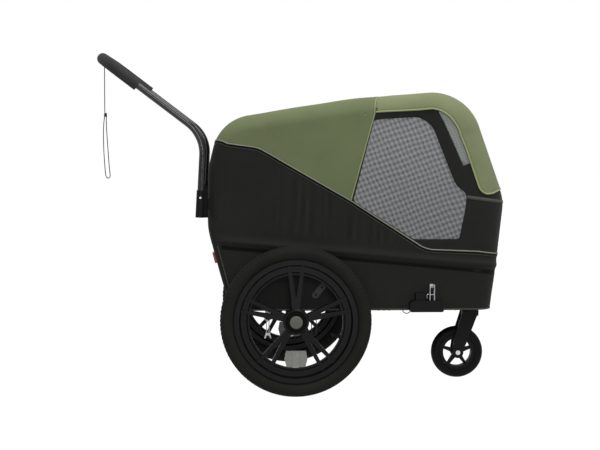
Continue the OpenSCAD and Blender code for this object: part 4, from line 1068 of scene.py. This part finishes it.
def addTyre(hand, blocks, perBlock, crown, crownSteps, wall, wallSteps, rows, blockHigh, blockLong, rowEdge, bead,
            beadIn, grooves, grooveDeep, grooveWide, crownGap, crownEdge):
    low, high = (np.array(corner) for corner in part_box("tyre_" + hand))
    centre, half = (low + high) / 2, (high[1] - low[1]) / 2
    ring = (high[2] - low[2]) / 2 - half
    theta = np.linspace(0, 2 * np.pi, blocks * perBlock, endpoint=False)[:, None]
    beside = np.linspace(-wall, -crown - crownGap, wallSteps)
    t = np.concatenate([beside, np.linspace(-crown, crown, crownSteps), -beside[::-1]])[None]
    row = (t / crown + 1) / 2 * rows
    block = rise(np.sin(blocks * theta + np.pi * np.floor(row)), *blockLong)
    block = block * smooth01((0.5 - np.abs(row % 1 - 0.5)) / rowEdge)
    section = half - blockHigh * (1 - block) * smooth01((crown - np.abs(t)) / crownEdge)
    for groove in grooves:
        section = section - grooveDeep * bell(np.abs(t) - groove, grooveWide)
    away, wide = ring + section * np.cos(t), section * np.sin(t) + 0 * theta
    inner = np.full_like(theta, ring - beadIn)
    away = np.concatenate([inner, away, inner], 1)
    wide = np.concatenate([0 * theta - bead, wide, 0 * theta + bead], 1)
    points = np.stack([centre[0] + away * np.cos(theta), centre[1] + wide, centre[2] + away * np.sin(theta)], -1)
    hub = np.stack([(away - ring) * np.cos(theta), wide, (away - ring) * np.sin(theta)], -1)
    faces = np.array(sweepFaces(*away.shape, True))
    flat, faces = facing(points, faces, hub)
    addPiece("tyreTread" + hand.capitalize(), flat, faces, looks["tread"], "wheel_" + hand, "tyre_rubber",
             ["tyre_" + hand])


for side, hand in sides:
    addTyre(hand, **tyre)

# ---- toothed racks that carry the handle's sockets against the cabin's rear corners
rack = {"x": -0.2972, "deep": 0.0092, "y": 0.300, "wide": 0.0075, "z": (0.590, 0.699), "pitch": 0.0075,
        "narrow": 0.62,
        "corners": [(1, 0.6), (0.8, 1), (-0.8, 1), (-1, 0.6), (-1, -0.6), (-0.8, -1), (0.8, -1), (1, -0.6)]}


# An upright bar of teeth: each tooth is two rows of corners at full width and two that are narrower
def addRack(side, hand, x, deep, y, wide, z, pitch, narrow, corners):
    teeth = int((z[1] - z[0]) / pitch)
    level = z[0] + (np.arange(teeth * 4) // 4 + np.tile([0, 0.5, 0.5, 1.0], teeth)) * pitch
    share = np.tile([1.0, 1.0, narrow, narrow], teeth)[:, None]
    ring = np.array(corners)
    points = np.stack([x + slide + deep * ring[None, :, 0] * (0.5 + 0.5 * share),
                       side * (y + wide * ring[None, :, 1] * share), level[:, None] + 0 * ring[None, :, 0]], -1)
    faces = sweepFaces(len(level), len(ring), False)
    addPiece("socketRack" + hand.capitalize(), points, faces, looks["rackPlastic"], "rear_frame", "black_plastic",
             smooth=False)


for side, hand in sides:
    addRack(side, hand, **rack)
print("tyres and racks made")

# ---- floor, lamps and world
studio = {"floorSize": 24.0, "floorGrey": 0.25, "floorWhite": 0.80, "glow": 1.25, "world": 0.67}


# A wide floor that takes shadows, and a world that lights the object evenly; both are white where they are seen
def addStudio(floorSize, floorGrey, floorWhite, glow, world):
    h, white = floorSize / 2, (1, 1, 1, 1)
    mesh = bpy.data.meshes.new("floor")
    mesh.from_pydata([(-h, -h, 0), (h, -h, 0), (h, h, 0), (-h, h, 0)], [], [(0, 1, 2, 3)])
    floor = bpy.data.objects.new("floor", mesh)
    bpy.context.scene.collection.objects.link(floor)
    look = Look("floor", roughness=0.9, Base_Color=(floorGrey, floorGrey, floorGrey, 1.0))
    seen = look.rays("Camera", "Glossy", "Transmission")
    shine = look.node("Emission", None, {"Color": white, "Strength": glow})
    mixed = look.node("MixShader", None, {0: seen * floorWhite, 1: Wire(look, look.shader.outputs[0]), 2: shine})
    look.feed(look.tree.nodes["Material Output"].inputs["Surface"], mixed)
    mesh.materials.append(look.material)

    background = bpy.data.worlds.new("studio")
    background.use_nodes = True
    bpy.context.scene.world = background
    sky = NodeTree(background.node_tree)
    grey = sky.tree.nodes["Background"]
    sky.feed(grey.inputs["Color"], white)
    sky.feed(grey.inputs["Strength"], world)
    plain = sky.node("Background", None, {"Color": white, "Strength": 1.0})
    seen = sky.rays("Camera", "Transmission")
    shown = sky.node("MixShader", None, {0: seen, 1: Wire(sky, grey.outputs[0]), 2: plain})
    sky.feed(sky.tree.nodes["World Output"].inputs["Surface"], shown)


lamps = [
    {"name": "overhead", "place": (0.7, -0.7, 3.4), "aim": (0.1, 0.0, 0.6), "size": 1.6, "power": 46},
    {"name": "nearSide", "place": (0.4, -4.4, 1.9), "aim": (0.0, -0.2, 0.6), "size": 1.4, "power": 34},
    {"name": "glint", "place": (0.25, -4.4, 0.95), "aim": (-0.2, -0.2, 0.9), "size": 0.4, "power": 9},
    {"name": "rearSide", "place": (-3.0, 1.2, 2.2), "aim": (0.0, 0.0, 0.6), "size": 1.8, "power": 12},
]


def addLamp(name, place, aim, size, power):
    data = bpy.data.lights.new(name, "AREA")
    data.shape, data.size, data.energy = "DISK", size, power
    lamp = bpy.data.objects.new(name, data)
    lamp.location = place
    lamp.rotation_euler = (Vector(aim) - Vector(place)).to_track_quat("-Z", "Y").to_euler()
    bpy.context.scene.collection.objects.link(lamp)


addStudio(**studio)
for lamp in lamps:
    addLamp(**lamp)
bpy.context.scene.view_settings.view_transform = "Standard"

print("scene ready")
